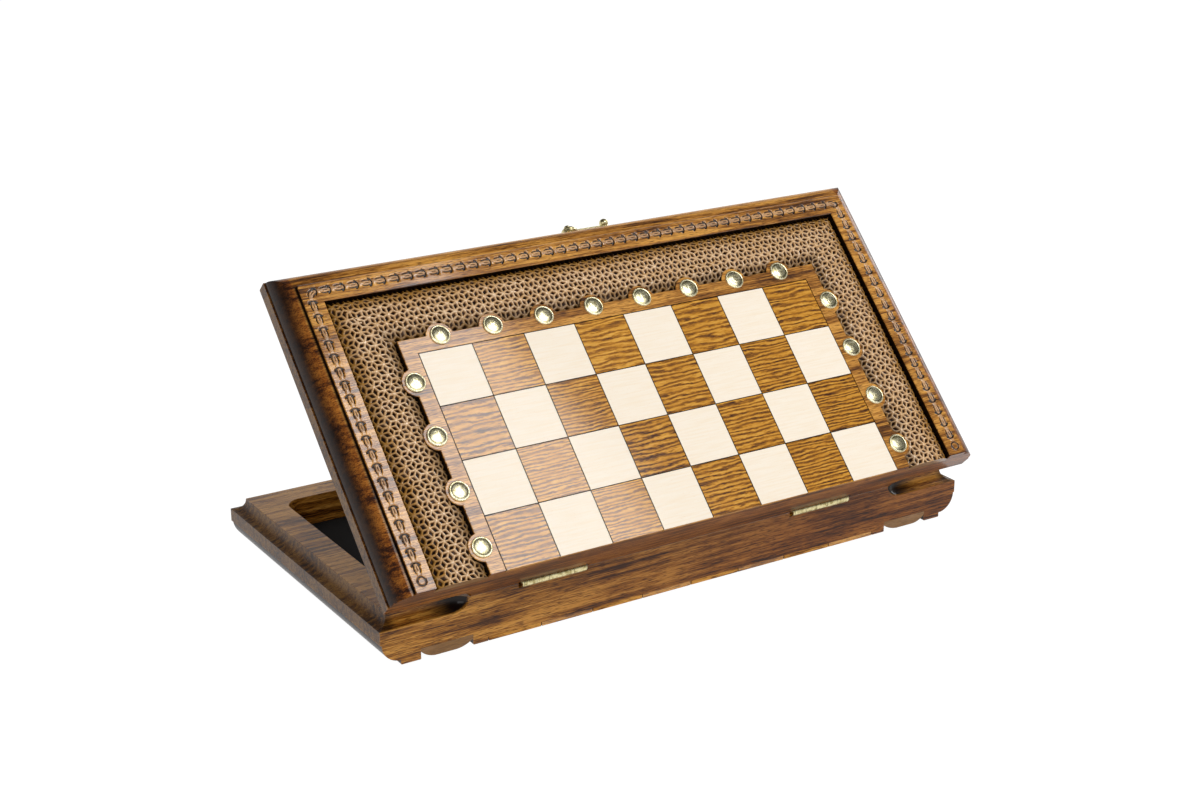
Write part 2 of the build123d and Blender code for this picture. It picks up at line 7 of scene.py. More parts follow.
import bmesh
import bpy
import numpy as np
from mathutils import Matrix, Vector


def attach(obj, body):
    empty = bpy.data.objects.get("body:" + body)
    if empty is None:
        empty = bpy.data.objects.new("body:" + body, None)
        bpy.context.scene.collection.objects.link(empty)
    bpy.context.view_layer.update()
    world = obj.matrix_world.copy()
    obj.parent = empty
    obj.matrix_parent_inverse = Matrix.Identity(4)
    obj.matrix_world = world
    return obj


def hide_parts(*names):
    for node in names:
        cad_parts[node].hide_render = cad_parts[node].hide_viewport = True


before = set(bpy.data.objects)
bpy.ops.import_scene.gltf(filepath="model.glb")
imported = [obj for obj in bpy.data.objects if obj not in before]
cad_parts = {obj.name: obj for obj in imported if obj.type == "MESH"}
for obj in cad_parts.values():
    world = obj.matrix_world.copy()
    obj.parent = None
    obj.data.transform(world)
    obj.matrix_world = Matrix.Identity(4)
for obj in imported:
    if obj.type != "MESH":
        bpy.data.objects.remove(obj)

logging.basicConfig(level=logging.INFO, format="%(message)s")
log = logging.getLogger("chess_box")

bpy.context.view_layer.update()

Socket = bpy.types.NodeSocket
Place = Callable[[np.ndarray], np.ndarray]      # carries (n, 3) points to the row's frame

# Millimetres, in each tray's own frame: u along the hinge, v away from it, w from the board face
# up to the rim. The driving sizes are those of the solids.
LENGTH = 500.0
WIDTH = 248.9
TRAY_HEIGHT = 36.5
AXIS_HEIGHT = 36.65
OPEN_ANGLE = 45.0
STAND_HEIGHT = 2.2
ORIGIN_V = 113.845
BORDER_INSET = 30.0
BORDER_WIDTH = 40.0
FIELD_INSET = 70.0
BOARD_INSET = 82.0
SQUARE = 42.0
HINGE_TRIM = 1.1
WALL_GAP = 0.15
BORDER_FAR = 218.9
FIELD_FAR = 178.9


# ---------------------------------------------------------------- frames and meshes


class Body(Enum):
    """The moving bodies of the box."""

    BASE = "base"
    LID = "lid"
    HOOK = "hook"


def closed_to_row(points: np.ndarray, opening: float = 0.0) -> np.ndarray:
    """Carries points drawn on the closed box, in millimetres, to the row's frame, in metres.

    The hinge axis is v = 0, w = A, and (v, w - A) is turned about it by the opening angle.

    Args:
        points: (n, 3) array of u, v, w, with w from the base's board face.
        opening: degrees; 0 for what stays with the base.

    Returns:
        (n, 3) array of x, y, z.
    """
    u, v, w = points.T
    turn, rise = radians(opening), w - AXIS_HEIGHT
    y = v * cos(turn) - rise * sin(turn) - ORIGIN_V
    z = v * sin(turn) + rise * cos(turn) + AXIS_HEIGHT + STAND_HEIGHT
    return np.stack([u - LENGTH / 2, y, z], 1) / 1000


@dataclass(frozen=True)
class TrayFrame:
    """A tray's own frame. The lid's is turned over on the closed box and then opened."""

    body: Body

    @property
    def lid(self) -> bool:
        """Whether this is the lid's frame."""
        return self.body is Body.LID

    def to_row(self, points: np.ndarray) -> np.ndarray:
        """Carries (n, 3) points from the tray's frame, in mm, to the row's frame, in metres."""
        if not self.lid:
            return closed_to_row(points)
        over = np.array([LENGTH, 0.0, 2 * AXIS_HEIGHT]) + points * np.array([-1.0, 1.0, -1.0])
        return closed_to_row(over, OPEN_ANGLE)

    def shader_place(self) -> tuple[tuple[float, ...], tuple[float, ...]]:
        """The turn and shift that take Object coordinates, in mm, back to the tray's frame.

        Returns:
            Location in mm and Euler angles in radians, for a Mapping node.
        """
        if not self.lid:
            return (LENGTH / 2, ORIGIN_V, -STAND_HEIGHT), (0.0, 0.0, 0.0)
        turn = radians(OPEN_ANGLE)
        drop = STAND_HEIGHT + AXIS_HEIGHT
        v = ORIGIN_V * cos(turn) - drop * sin(turn)
        w = AXIS_HEIGHT + ORIGIN_V * sin(turn) + drop * cos(turn)
        return (LENGTH / 2, v, w), (-turn, pi, 0.0)


def smoothstep(low: float, high: float, x: np.ndarray) -> np.ndarray:
    """Rises from 0 at low to 1 at high as 3t^2 - 2t^3, with t the share of the way."""
    t = np.clip((x - low) / (high - low), 0.0, 1.0)
    return t * t * (3 - 2 * t)


def grid_quads(rows: int, columns: int, around: bool = False) -> np.ndarray:
    """Corner numbers of the quads of a grid whose points run row by row.

    Args:
        rows: number of rows of points.
        columns: number of points in a row.
        around: whether the last point of a row joins the first.

    Returns:
        (n, 4) array of point numbers.
    """
    steps = columns if around else columns - 1
    i, j = np.meshgrid(np.arange(rows - 1), np.arange(steps), indexing="ij")
    here, beside = i * columns + j, i * columns + (j + 1) % columns
    return np.stack([here, beside, beside + columns, here + columns], -1).reshape(-1, 4)


@dataclass
class MeshData:
    """Points and faces of a piece while it is worked out, before it becomes a Blender mesh."""

    points: np.ndarray
    faces: list[np.ndarray]
    values: dict[str, np.ndarray] = field(default_factory=dict)

    def turned_over(self) -> "MeshData":
        """The same mesh with its faces facing the other way."""
        return MeshData(self.points, [face[:, ::-1] for face in self.faces], self.values)

    @staticmethod
    def joined(parts: list["MeshData"]) -> "MeshData":
        """One mesh of several, point numbers shifted past those before."""
        starts = np.cumsum([0] + [len(part.points) for part in parts[:-1]])
        faces = [face + start for part, start in zip(parts, starts) for face in part.faces]
        names = set().union(*(part.values for part in parts))
        values = {
            name: np.concatenate([
                part.values.get(name, np.zeros(len(part.points))) for part in parts
            ])
            for name in names
        }
        return MeshData(np.concatenate([part.points for part in parts]), faces, values)


def lathe(profile: list[tuple[float, float]], steps: int = 32, ring: bool = False) -> MeshData:
    """A turned form about the z axis: the profile's (radius, height) points, carried round.

    Point (i, j) is (r_i cos a_j, r_i sin a_j, h_i) with a_j = 2 pi j / steps. The profile runs
    from the pole at the foot to the pole at the top, so that the faces point outwards.

    Args:
        profile: radius and height of each ring; the first and last radius are 0.
        steps: points round each ring.
        ring: whether the form has a bore, and its profile closes on itself without poles.

    Returns:
        The closed mesh.
    """
    rings = np.array(profile if ring else profile[1:-1])
    angle = 2 * pi * np.arange(steps) / steps
    x = rings[:, :1] * np.cos(angle)
    y = rings[:, :1] * np.sin(angle)
    z = np.repeat(rings[:, 1:], steps, 1)
    points = np.stack([x, y, z], -1).reshape(-1, 3)
    if ring:
        around = np.arange(len(points)).reshape(-1, steps)
        around = np.concatenate([around, around[:1]])
        return MeshData(points, [around.ravel()[grid_quads(len(around), steps, around=True)]])
    poles = np.array([[0, 0, profile[0][1]], [0, 0, profile[-1][1]]])
    count = len(points)
    here = np.arange(steps)
    after = (here + 1) % steps
    foot = np.stack([after, here, np.full(steps, count)], 1)
    last = count - steps
    top = np.stack([last + here, last + after, np.full(steps, count + 1)], 1)
    quads = grid_quads(len(rings), steps, around=True)
    return MeshData(np.concatenate([points, poles]), [quads, foot, top])


def smooth_profile(corners: list[tuple[float, float]]) -> list[tuple[float, float]]:
    """Rounds a profile by cutting its corners twice, at 1/4 and 3/4 of each side.

    Args:
        corners: radius and height of the corners, ends included.

    Returns:
        The rounded profile with the same ends.
    """
    line = np.array(corners, float)
    for _ in range(2):
        first, second = line[:-1], line[1:]
        cut = np.stack([0.75 * first + 0.25 * second, 0.25 * first + 0.75 * second], 1)
        line = np.concatenate([line[:1], cut.reshape(-1, 2)[1:-1], line[-1:]])
    return [tuple(point) for point in line]


def put(name: str, data: bpy.types.ID) -> bpy.types.Object:
    """A new object of that data, in the scene."""
    placed = bpy.data.objects.new(name, data)
    bpy.context.scene.collection.objects.link(placed)
    return placed


def build_object(
    name: str,
    data: MeshData,
    place: Place,
    body: Body,
    material: bpy.types.Material,
    stands_for: tuple[str, ...] = (),
    sharp: float = 60.0,
) -> bpy.types.Object:
    """Puts a worked-out mesh into Blender and ties it to its body.

    Args:
        name: the piece's name.
        data: its mesh, in the frame that place reads.
        place: function that carries (n, 3) points to the row's frame in metres.
        body: the body it rides on.
        material: its finish.
        stands_for: the CAD nodes that it replaces.
        sharp: edges sharper than this many degrees stay hard.

    Returns:
        The new object.
    """
    points = place(data.points)
    mesh = bpy.data.meshes.new(name)
    mesh.vertices.add(len(points))
    mesh.vertices.foreach_set("co", points.astype(np.float32).ravel())
    corners = np.concatenate([face.ravel() for face in data.faces])
    totals = np.concatenate([np.full(len(face), face.shape[1]) for face in data.faces])
    mesh.loops.add(len(corners))
    mesh.loops.foreach_set("vertex_index", corners.astype(np.int32))
    mesh.polygons.add(len(totals))
    starts = np.concatenate([[0], np.cumsum(totals)[:-1]])
    mesh.polygons.foreach_set("loop_start", starts.astype(np.int32))
    for key, value in data.values.items():
        layer = mesh.attributes.new(key, "FLOAT", "POINT")
        layer.data.foreach_set("value", value.astype(np.float32))
    mesh.materials.append(material)
    mesh.update(calc_edges=True)
    mesh.validate()
    mesh.shade_smooth()
    mesh.set_sharp_from_angle(angle=radians(sharp))
    piece = put(name, mesh)
    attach(piece, body.value)
    if stands_for:
        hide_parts(*stands_for)
    log.info("%s: %d faces", name, len(totals))
    return piece


# ---------------------------------------------------------------- finishes

STAIN_AND_SHADE = "#140803"       # where the stain has gathered and where shade is painted, nearly black


def linear(code: str) -> tuple[float, float, float, float]:
    """Turns an sRGB hex colour into the linear values that the shaders read."""
    parts = [int(code[i:i + 2], 16) / 255 for i in (1, 3, 5)]
    return (*(c / 12.92 if c <= 0.04045 else ((c + 0.055) / 1.055) ** 2.4 for c in parts), 1.0)


class Tree:
    """The node tree of a material or of the world."""

    def __init__(self, name: str, world: bool = False) -> None:
        """Starts an empty material, or an empty world, of that name."""
        self.owner = (bpy.data.worlds if world else bpy.data.materials).new(name)
        self.owner.use_nodes = True
        self.tree = self.owner.node_tree
        self.tree.nodes.clear()

    def add(
        self, kind: str, inputs: dict[int | str, object] | None = None, out: int | str = 0,
        **settings: object,
    ) -> Socket:
        """Adds a node with its settings, and its inputs as values or links.

        Args:
            kind: the node's type without its ShaderNode prefix.
            inputs: input sockets by number or name, each a value or another node's output.
            out: the output that is handed back.
            settings: the node's own properties.

        Returns:
            The chosen output socket.
        """
        node = self.tree.nodes.new("ShaderNode" + kind)
        for key, value in settings.items():
            setattr(node, key, value)
        for key, value in (inputs or {}).items():
            if isinstance(value, Socket):
                self.tree.links.new(value, node.inputs[key])
            else:
                node.inputs[key].default_value = value
        return node.outputs[out] if node.outputs else None

    def math(self, operation: str, first: Socket | float, *others: Socket | float) -> Socket:
        """Math of the first value and the next, then of the result and the one after."""
        for other in others:
            first = self.add("Math", {0: first, 1: other}, operation=operation)
        return first

    def product(self, *values: Socket | float) -> Socket:
        """The values multiplied from left to right."""
        return self.math("MULTIPLY", *values)

    def weighted(self, value: Socket, weight: Socket | float, more: Socket | float) -> Socket:
        """The value times its weight, and more."""
        return self.add("Math", {0: value, 1: weight, 2: more}, operation="MULTIPLY_ADD")

    def ranged(
        self, value: Socket, low: float = 0.0, high: float = 1.0, start: float = 0.0,
        end: float = 1.0, smooth: bool = False,
    ) -> Socket:
        """Goes from start to end while the value goes from low to high, and holds beyond."""
        return self.add("MapRange", {0: value, 1: low, 2: high, 3: start, 4: end},
                        interpolation_type="SMOOTHSTEP" if smooth else "LINEAR")

    def mix(
        self, share: Socket | float, first: Socket | str, second: Socket | str, blend: str = "MIX"
    ) -> Socket:
        """The first colour with a share of the second over it; each a socket or a hex colour."""
        first, second = (linear(c) if isinstance(c, str) else c for c in (first, second))
        return self.add("Mix", {0: share, 6: first, 7: second}, out=2, data_type="RGBA",
                        blend_type=blend)

    def vector(self, operation: str, *vectors: Socket | tuple[float, ...]) -> Socket:
        """Math of whole vectors."""
        return self.add("VectorMath", dict(enumerate(vectors)), operation=operation)

    def ramp(self, value: Socket, *stops: tuple[float, str]) -> Socket:
        """Hex colours at places from 0 to 1, and their blends in between."""
        colour = self.add("ValToRGB", {0: value})
        elements = colour.node.color_ramp.elements
        while len(elements) < len(stops):
            elements.new(0.5)
        for element, (place, code) in zip(elements, stops):
            element.position = place
            element.color = linear(code)
        return colour

    def parts(self, vector: Socket) -> tuple[Socket, ...]:
        """The three parts of a vector."""
        return tuple(self.add("SeparateXYZ", {0: vector}).node.outputs)

    def attribute(self, name: str) -> Socket:
        """A value that the piece's own points carry."""
        return self.add("Attribute", out="Fac", attribute_name=name)

    def bump(self, strength: float, depth: float, height: Socket) -> Socket:
        """Fine relief of a depth in metres, for a shader's normal."""
        return self.add("Bump", {"Strength": strength, "Distance": depth, "Height": height})

    def place(self, tray: TrayFrame) -> Socket:
        """Position in the tray's own frame, in millimetres."""
        location, rotation = tray.shader_place()
        return self.add("Mapping", {
            "Vector": self.add("TexCoord", out="Object"), "Location": location,
            "Rotation": rotation, "Scale": (1000.0, 1000.0, 1000.0),
        })

    def noise(self, scale: float, detail: float) -> Socket:
        """Noise with that many features in a metre."""
        place = self.add("TexCoord", out="Object")
        return self.add("TexNoise", {"Vector": place, "Scale": scale, "Detail": detail})

    def streaks(
        self, place: Socket, size: tuple[float, float, float], detail: float = 3.0,
        distortion: float = 0.0,
    ) -> Socket:
        """Noise whose features are about size millimetres along u, v and w."""
        return self.add("TexNoise", {
            "Vector": self.vector("MULTIPLY", place, tuple(1 / s for s in size)), "Scale": 1.0,
            "Detail": detail, "Roughness": 0.55, "Distortion": distortion,
        })

    def stained_edges(self, place: Socket, face: Socket) -> Socket:
        """Keeps a square's face; its edges are dark, and brown on the hinge wall."""
        _, v, w = self.parts(place)
        edge = self.mix(self.ranged(v, 0.45, 0.25), STAIN_AND_SHADE, StainedBeech().colour(self, place))
        return self.mix(self.ranged(w, 0.03, 0.08), face, edge)

    def finish(self, inputs: dict[str, object]) -> bpy.types.Material:
        """Ends the tree with a Principled shader and gives the material back."""
        self.add("OutputMaterial", {"Surface": self.add("BsdfPrincipled", inputs)})
        return self.owner

    def lacquered(
        self, colour: Socket, coat: Socket | float = 1.0, **others: object
    ) -> bpy.types.Material:
        """Ends the tree as dull wood under a clear coat of that weight.

        Args:
            colour: the wood's colour.
            coat: weight of the coat.
            others: further inputs of the shader, with _ for a space in their names.

        Returns:
            The material.
        """
        return self.finish({
            "Base Color": colour, "Roughness": 0.45, "Specular IOR Level": 0.1,
            "Coat Weight": coat, "Coat Roughness": 0.1, "Coat IOR": 1.5,
            **{name.replace("_", " "): value for name, value in others.items()},
        })


@dataclass(frozen=True)
class StainedBeech:
    """Beech, milled, stained golden brown and lacquered to a gloss.

    The eye sees long darker streaks along the grain, short fine ray flecks, stain and painted shade
    that darken the step beside the band, the grooves and the side mouldings, painted shadow at the
    inner ends of the hinge wall's coves, and clear, sharp reflections that lie over the wood.
    """

    pale: str = "#DB9E47"
    middle: str = "#A56A22"
    dark: str = "#4C2809"
    streak: tuple[float, float, float] = (120.0, 3.2, 3.2)   # ring streaks, mm
    patch: tuple[float, float, float] = (70.0, 22.0, 22.0)   # paler and darker patches, mm
    fibre: tuple[float, float, float] = (14.0, 0.6, 0.6)     # fine fibres, mm
    fleck: tuple[float, float, float] = (7.0, 0.5, 0.5)      # dark pores and ray flecks, mm

    def colour(self, tree: Tree, place: Socket) -> Socket:
        """The wood's colour at a place in the tray's frame, before the stain that gathers."""
        patches = tree.product(tree.streaks(place, self.patch, detail=1.0), 0.25)
        level = tree.weighted(tree.streaks(place, self.fibre), 0.30, patches)
        level = tree.weighted(tree.streaks(place, self.streak, 4.0, 0.3), 0.45, level)
        wood = tree.ramp(level, (0.41, self.dark), (0.48, self.middle), (0.56, self.pale))
        flecks = tree.streaks(place, self.fleck, 1.0)
        flecks = tree.ramp(flecks, (0.34, "#5E3C20"), (0.47, "#FFFFFF"))
        return tree.mix(0.8, wood, flecks, "MULTIPLY")

    def make(self, tray: TrayFrame) -> bpy.types.Material:
        """The tray case's material, with stain and painted shade darkening each of its forms."""
        tree = Tree(f"stained_beech_{tray.body.value}")
        place = tree.place(tray)
        wood = self.colour(tree, place)
        u, v, w = tree.parts(place)
        side = tree.math("MINIMUM", u, tree.math("SUBTRACT", LENGTH, u))
        inset = tree.math("MINIMUM", side, tree.math("SUBTRACT", WIDTH, v))
        face_down = tree.ranged(w, 0.25, 1.1, smooth=True)
        off_hinge = tree.ranged(v, 0.3, 1.2)
        under_rim = tree.ranged(w, 36.4, 36.2)
        rim = tree.ranged(w, 36.3, 36.45)
        # stain and painted shade: the groove beside the border and the step beside the band are
        # darkened
        groove = tree.product(
            tree.ranged(inset, 26.0, 28.0, smooth=True), tree.ranged(w, 10.0, 9.0), face_down,
            off_hinge)
        step = tree.product(
            tree.ranged(inset, 13.2, 14.9, smooth=True), tree.ranged(inset, 15.4, 15.05),
            tree.ranged(w, 6.5, 5.5), face_down, off_hinge)
        # lines between the squares: the floor of the veneer's bed
        lines = tree.product(
            tree.ranged(inset, 80.0, 80.5), tree.ranged(w, 0.15, 0.3), off_hinge,
            tree.ranged(w, 3.3, 3.1))
        # painted shadow where the cove runs out on the hinge wall, darkest at its inner end
        scoop_shadow = tree.product(
            tree.ranged(side, 30.0, 58.0, smooth=True), tree.ranged(side, 76.0, 75.0), under_rim,
            tree.ranged(v, 0.5, 2.2), tree.ranged(v, 18.0, 16.0), tree.ranged(w, 20.0, 21.0))
        # the side mouldings are nearly black outside and amber inside, from stain and painted shade
        wander = tree.weighted(tree.streaks(place, (60.0, 90.0, 30.0)), 12.0, side)
        shaped = tree.product(tree.ranged(w, 18.5, 17.0), off_hinge, tree.ranged(side, 14.0, 12.5))
        moulding = tree.product(tree.ranged(wander, 19.0, 9.0, smooth=True), shaped, 0.93)
        # the side coves are darkened by stain and painted shade
        hollow = tree.product(
            tree.ranged(side, 14.5, 8.5), tree.ranged(w, 17.0, 18.5), off_hinge, under_rim, 0.70)
        # stain together with painted shade and painted shadow, in one mask
        stain_and_shade = tree.math(
            "MAXIMUM", groove, step, lines, scoop_shadow, moulding, hollow, tree.product(rim, 0.15))
        # the side mouldings' wood is dulled darker as well, partly as painted shade
        wood = tree.mix(shaped, wood, tree.mix(1.0, wood, "#C8AC8C", "MULTIPLY"))
        # the hinge wall is brown, and the base's darkens towards its high end
        depth = tree.ranged(u, 30.0, 330.0, 0.75 if tray.lid else 0.0, 0.75)
        wall = tree.product(tree.ranged(v, 1.0, 0.4), depth)
        wood = tree.mix(wall, wood, tree.mix(1.0, wood, "#9A7058", "MULTIPLY"))
        # the lacquer is rubbed up on the board face and the rim, and thin on the mouldings
        polished = tree.math("MAXIMUM", rim, tree.ranged(w, 1.2, 0.4))
        return tree.lacquered(
            tree.mix(stain_and_shade, wood, STAIN_AND_SHADE), tree.ranged(polished, start=0.35),
            Normal=tree.bump(0.12, 0.0002, tree.streaks(place, self.fibre, detail=2.0)))


@dataclass(frozen=True)
class DarkSquareBeech:
    """Steamed beech veneer under gloss lacquer: golden brown with strong dark ripples.

    The ripples are 2 to 5 mm apart, run along the box and are feathered, and each square is cut
    from another place of the plank.
    """

    stops: tuple[tuple[float, str], ...] = (
        (0.22, "#3A1A03"), (0.44, "#935C0E"), (0.62, "#C4841C"), (0.92, "#E4AA44"))
    ripple: float = 3.4      # mean distance between two ripples, mm
    plank: tuple[float, float, float] = (400.0, 400.0, 90.0)     # what the squares are cut from, mm

    def make(self, tray: TrayFrame) -> bpy.types.Material:
        """The material of one tray's dark squares."""
        tree = Tree(f"dark_square_beech_{tray.body.value}")
        place = tree.place(tray)
        cell = tree.vector("ADD", place, (-BOARD_INSET, HINGE_TRIM, 0.0))
        cell = tree.vector("FLOOR", tree.vector("MULTIPLY", cell, (1 / SQUARE, 1 / SQUARE, 0.0)))
        chance = tree.add("TexWhiteNoise", {"Vector": cell}, out="Color")
        spot = tree.vector("ADD", place, tree.vector("MULTIPLY", chance, self.plank))
        chance_u, chance_v, _ = tree.parts(chance)
        pace = tree.ranged(chance_u, start=1.35 / self.ripple, end=0.75 / self.ripple)
        phase = tree.product(tree.parts(spot)[1], pace)
        phase = tree.weighted(tree.streaks(spot, (30.0, 6.0, 6.0)), 2.6, phase)
        phase = tree.weighted(tree.streaks(spot, (3.0, 0.6, 0.6), detail=2.0), 0.55, phase)
        wave = tree.add("Math", {0: tree.product(phase, 2 * pi)}, operation="SINE")
        strength = tree.ranged(tree.streaks(spot, (18.0, 5.0, 5.0)), 0.3, 0.7, 0.10, 0.34)
        level = tree.weighted(wave, strength, 0.28)
        level = tree.weighted(tree.streaks(spot, (9.0, 0.45, 0.45), detail=2.0), 0.55, level)
        level = tree.math("ADD", level, tree.ranged(chance_v, start=-0.05, end=0.06))
        return tree.lacquered(tree.stained_edges(place, tree.ramp(level, *self.stops)))


@dataclass(frozen=True)
class CreamMaple:
    """Maple veneer under clear lacquer: nearly even cream, with faint fibres and tiny flecks."""

    pale: str = "#FDF1DF"
    deep: str = "#FAEAD2"

    def make(self, tray: TrayFrame) -> bpy.types.Material:
        """The material of one tray's light squares."""
        tree = Tree(f"cream_maple_{tray.body.value}")
        place = tree.place(tray)
        base = tree.ramp(tree.streaks(place, (26.0, 1.4, 1.4)), (0.3, self.deep), (0.6, self.pale))
        flecks = tree.ramp(tree.streaks(place, (2.4, 0.5, 0.5), detail=1.0),
                           (0.24, "#E2BE98"), (0.33, "#FFFFFF"))
        face = tree.mix(0.3, base, flecks, "MULTIPLY")
        return tree.lacquered(tree.stained_edges(place, face), 0.2)


@dataclass(frozen=True)
class CarvedBeech:
    """Beech carved with gouges, stained dark and rubbed back, under a thin gloss lacquer. The cuts
    are nearly black from stain and painted shade; the high ribs are pale wood with painted highlight."""

    pit_stain_and_shade: str = "#160903"
    slopes: tuple[str, str] = ("#7A4E26", "#5E3A0C")     # of the grey brown and the golden parts
    ribs_with_highlight: tuple[str, str] = ("#E6C092", "#C48E3E")

    def make(self, tray: TrayFrame) -> bpy.types.Material:
        """The material of one tray's border; it reads the pieces' relief, tone and shadow."""
        tree = Tree(f"carved_beech_{tray.body.value}")
        place = tree.place(tray)
        relief = tree.attribute("relief")
        # pits nearly black from stain and painted shade, ribs pale partly as painted highlight
        brown, golden = (
            tree.ramp(relief, (0.12, self.pit_stain_and_shade), (0.48, slope), (0.88, rib))
            for slope, rib in zip(self.slopes, self.ribs_with_highlight))
        patches = tree.ranged(tree.streaks(place, (26.0, 9.0, 9.0)), 0.36, 0.66)
        blend = tree.add("Math", {0: tree.attribute("tone"), 1: tree.product(patches, 0.5)},
                         use_clamp=True)
        colour = tree.mix(blend, brown, golden)
        colour = tree.mix(tree.attribute("shadow"), colour, "#1A0C04")
        fibres = tree.streaks(place, (6.0, 0.5, 0.5), detail=2.0)
        shade = tree.ramp(fibres, (0.3, "#A89078"), (0.55, "#FFFFFF"))
        return tree.lacquered(
            tree.mix(0.6, colour, shade, "MULTIPLY"), relief, Roughness=0.42,
            Normal=tree.bump(0.25, 0.0002, fibres), Coat_Roughness=0.12, Coat_IOR=1.6)


@dataclass(frozen=True)
class CarvedChain:
    """The band's own stained beech; its gouge cuts are darker from stain and painted shade, and the
    tops of the scales paler from wear and painted highlight.
    """

    wear_and_highlight: str = "#C9A27C"
    cut: str = "#1B0C04"

    def make(self, tray: TrayFrame) -> bpy.types.Material:
        """The material of one tray's chain; it reads the piece's relief and tone."""
        tree = Tree(f"carved_band_{tray.body.value}")
        wood = StainedBeech().colour(tree, tree.place(tray))
        # pale scale tops: wear and painted highlight
        wood = tree.mix(tree.product(tree.attribute("tone"), 0.6), wood, self.wear_and_highlight)
        # the cuts darken with their depth: stain and painted shade
        return tree.lacquered(
            tree.mix(tree.ranged(tree.attribute("relief"), 0.90, 0.45), wood, self.cut))


@dataclass(frozen=True)
class Brass:
    """Rolled and turned brass, polished and lacquered, pale as fittings of this kind are.

    Where a piece says so, dark patina has stayed beside its raised parts.
    """

    name: str
    colour: str
    dull: str
    roughness: float
    patina: bool = False

    def make(self) -> bpy.types.Material:
        """The brass, with dulled patches about 2 mm across and fine handling marks."""
        tree = Tree(self.name)
        colour = tree.mix(tree.ranged(tree.noise(450.0, 3.0), 0.42, 0.68), self.colour, self.dull)
        if self.patina:
            colour = tree.mix(tree.attribute("patina"), colour, "#3A3214")
        rough = tree.ranged(
            tree.noise(2500.0, 2.0), start=self.roughness * 0.7, end=self.roughness * 1.5)
        return tree.finish({"Base Color": colour, "Metallic": 1.0, "Roughness": rough})


@dataclass(frozen=True)
class BlackFelt:
    """Needled black felt, 1 mm thick: a matt nap of short fibres. Its near black is partly
    painted shade inside the trays.
    """

    # near black: the felt's own colour, and painted shade inside the trays
    colour: str = "#0B0A0A"
    tips: str = "#1A1818"

    def make(self) -> bpy.types.Material:
        """The felt, with fibres about 0.4 mm wide, drawn coarser than they are."""
        tree = Tree("black_felt")
        nap = tree.noise(2400.0, 4.0)
        return tree.finish({
            "Base Color": tree.mix(nap, self.colour, self.tips), "Roughness": 0.95,
            "Specular IOR Level": 0.15, "Normal": tree.bump(0.6, 0.0004, nap), "Sheen Weight": 0.05,
        })


# ---------------------------------------------------------------- carved border


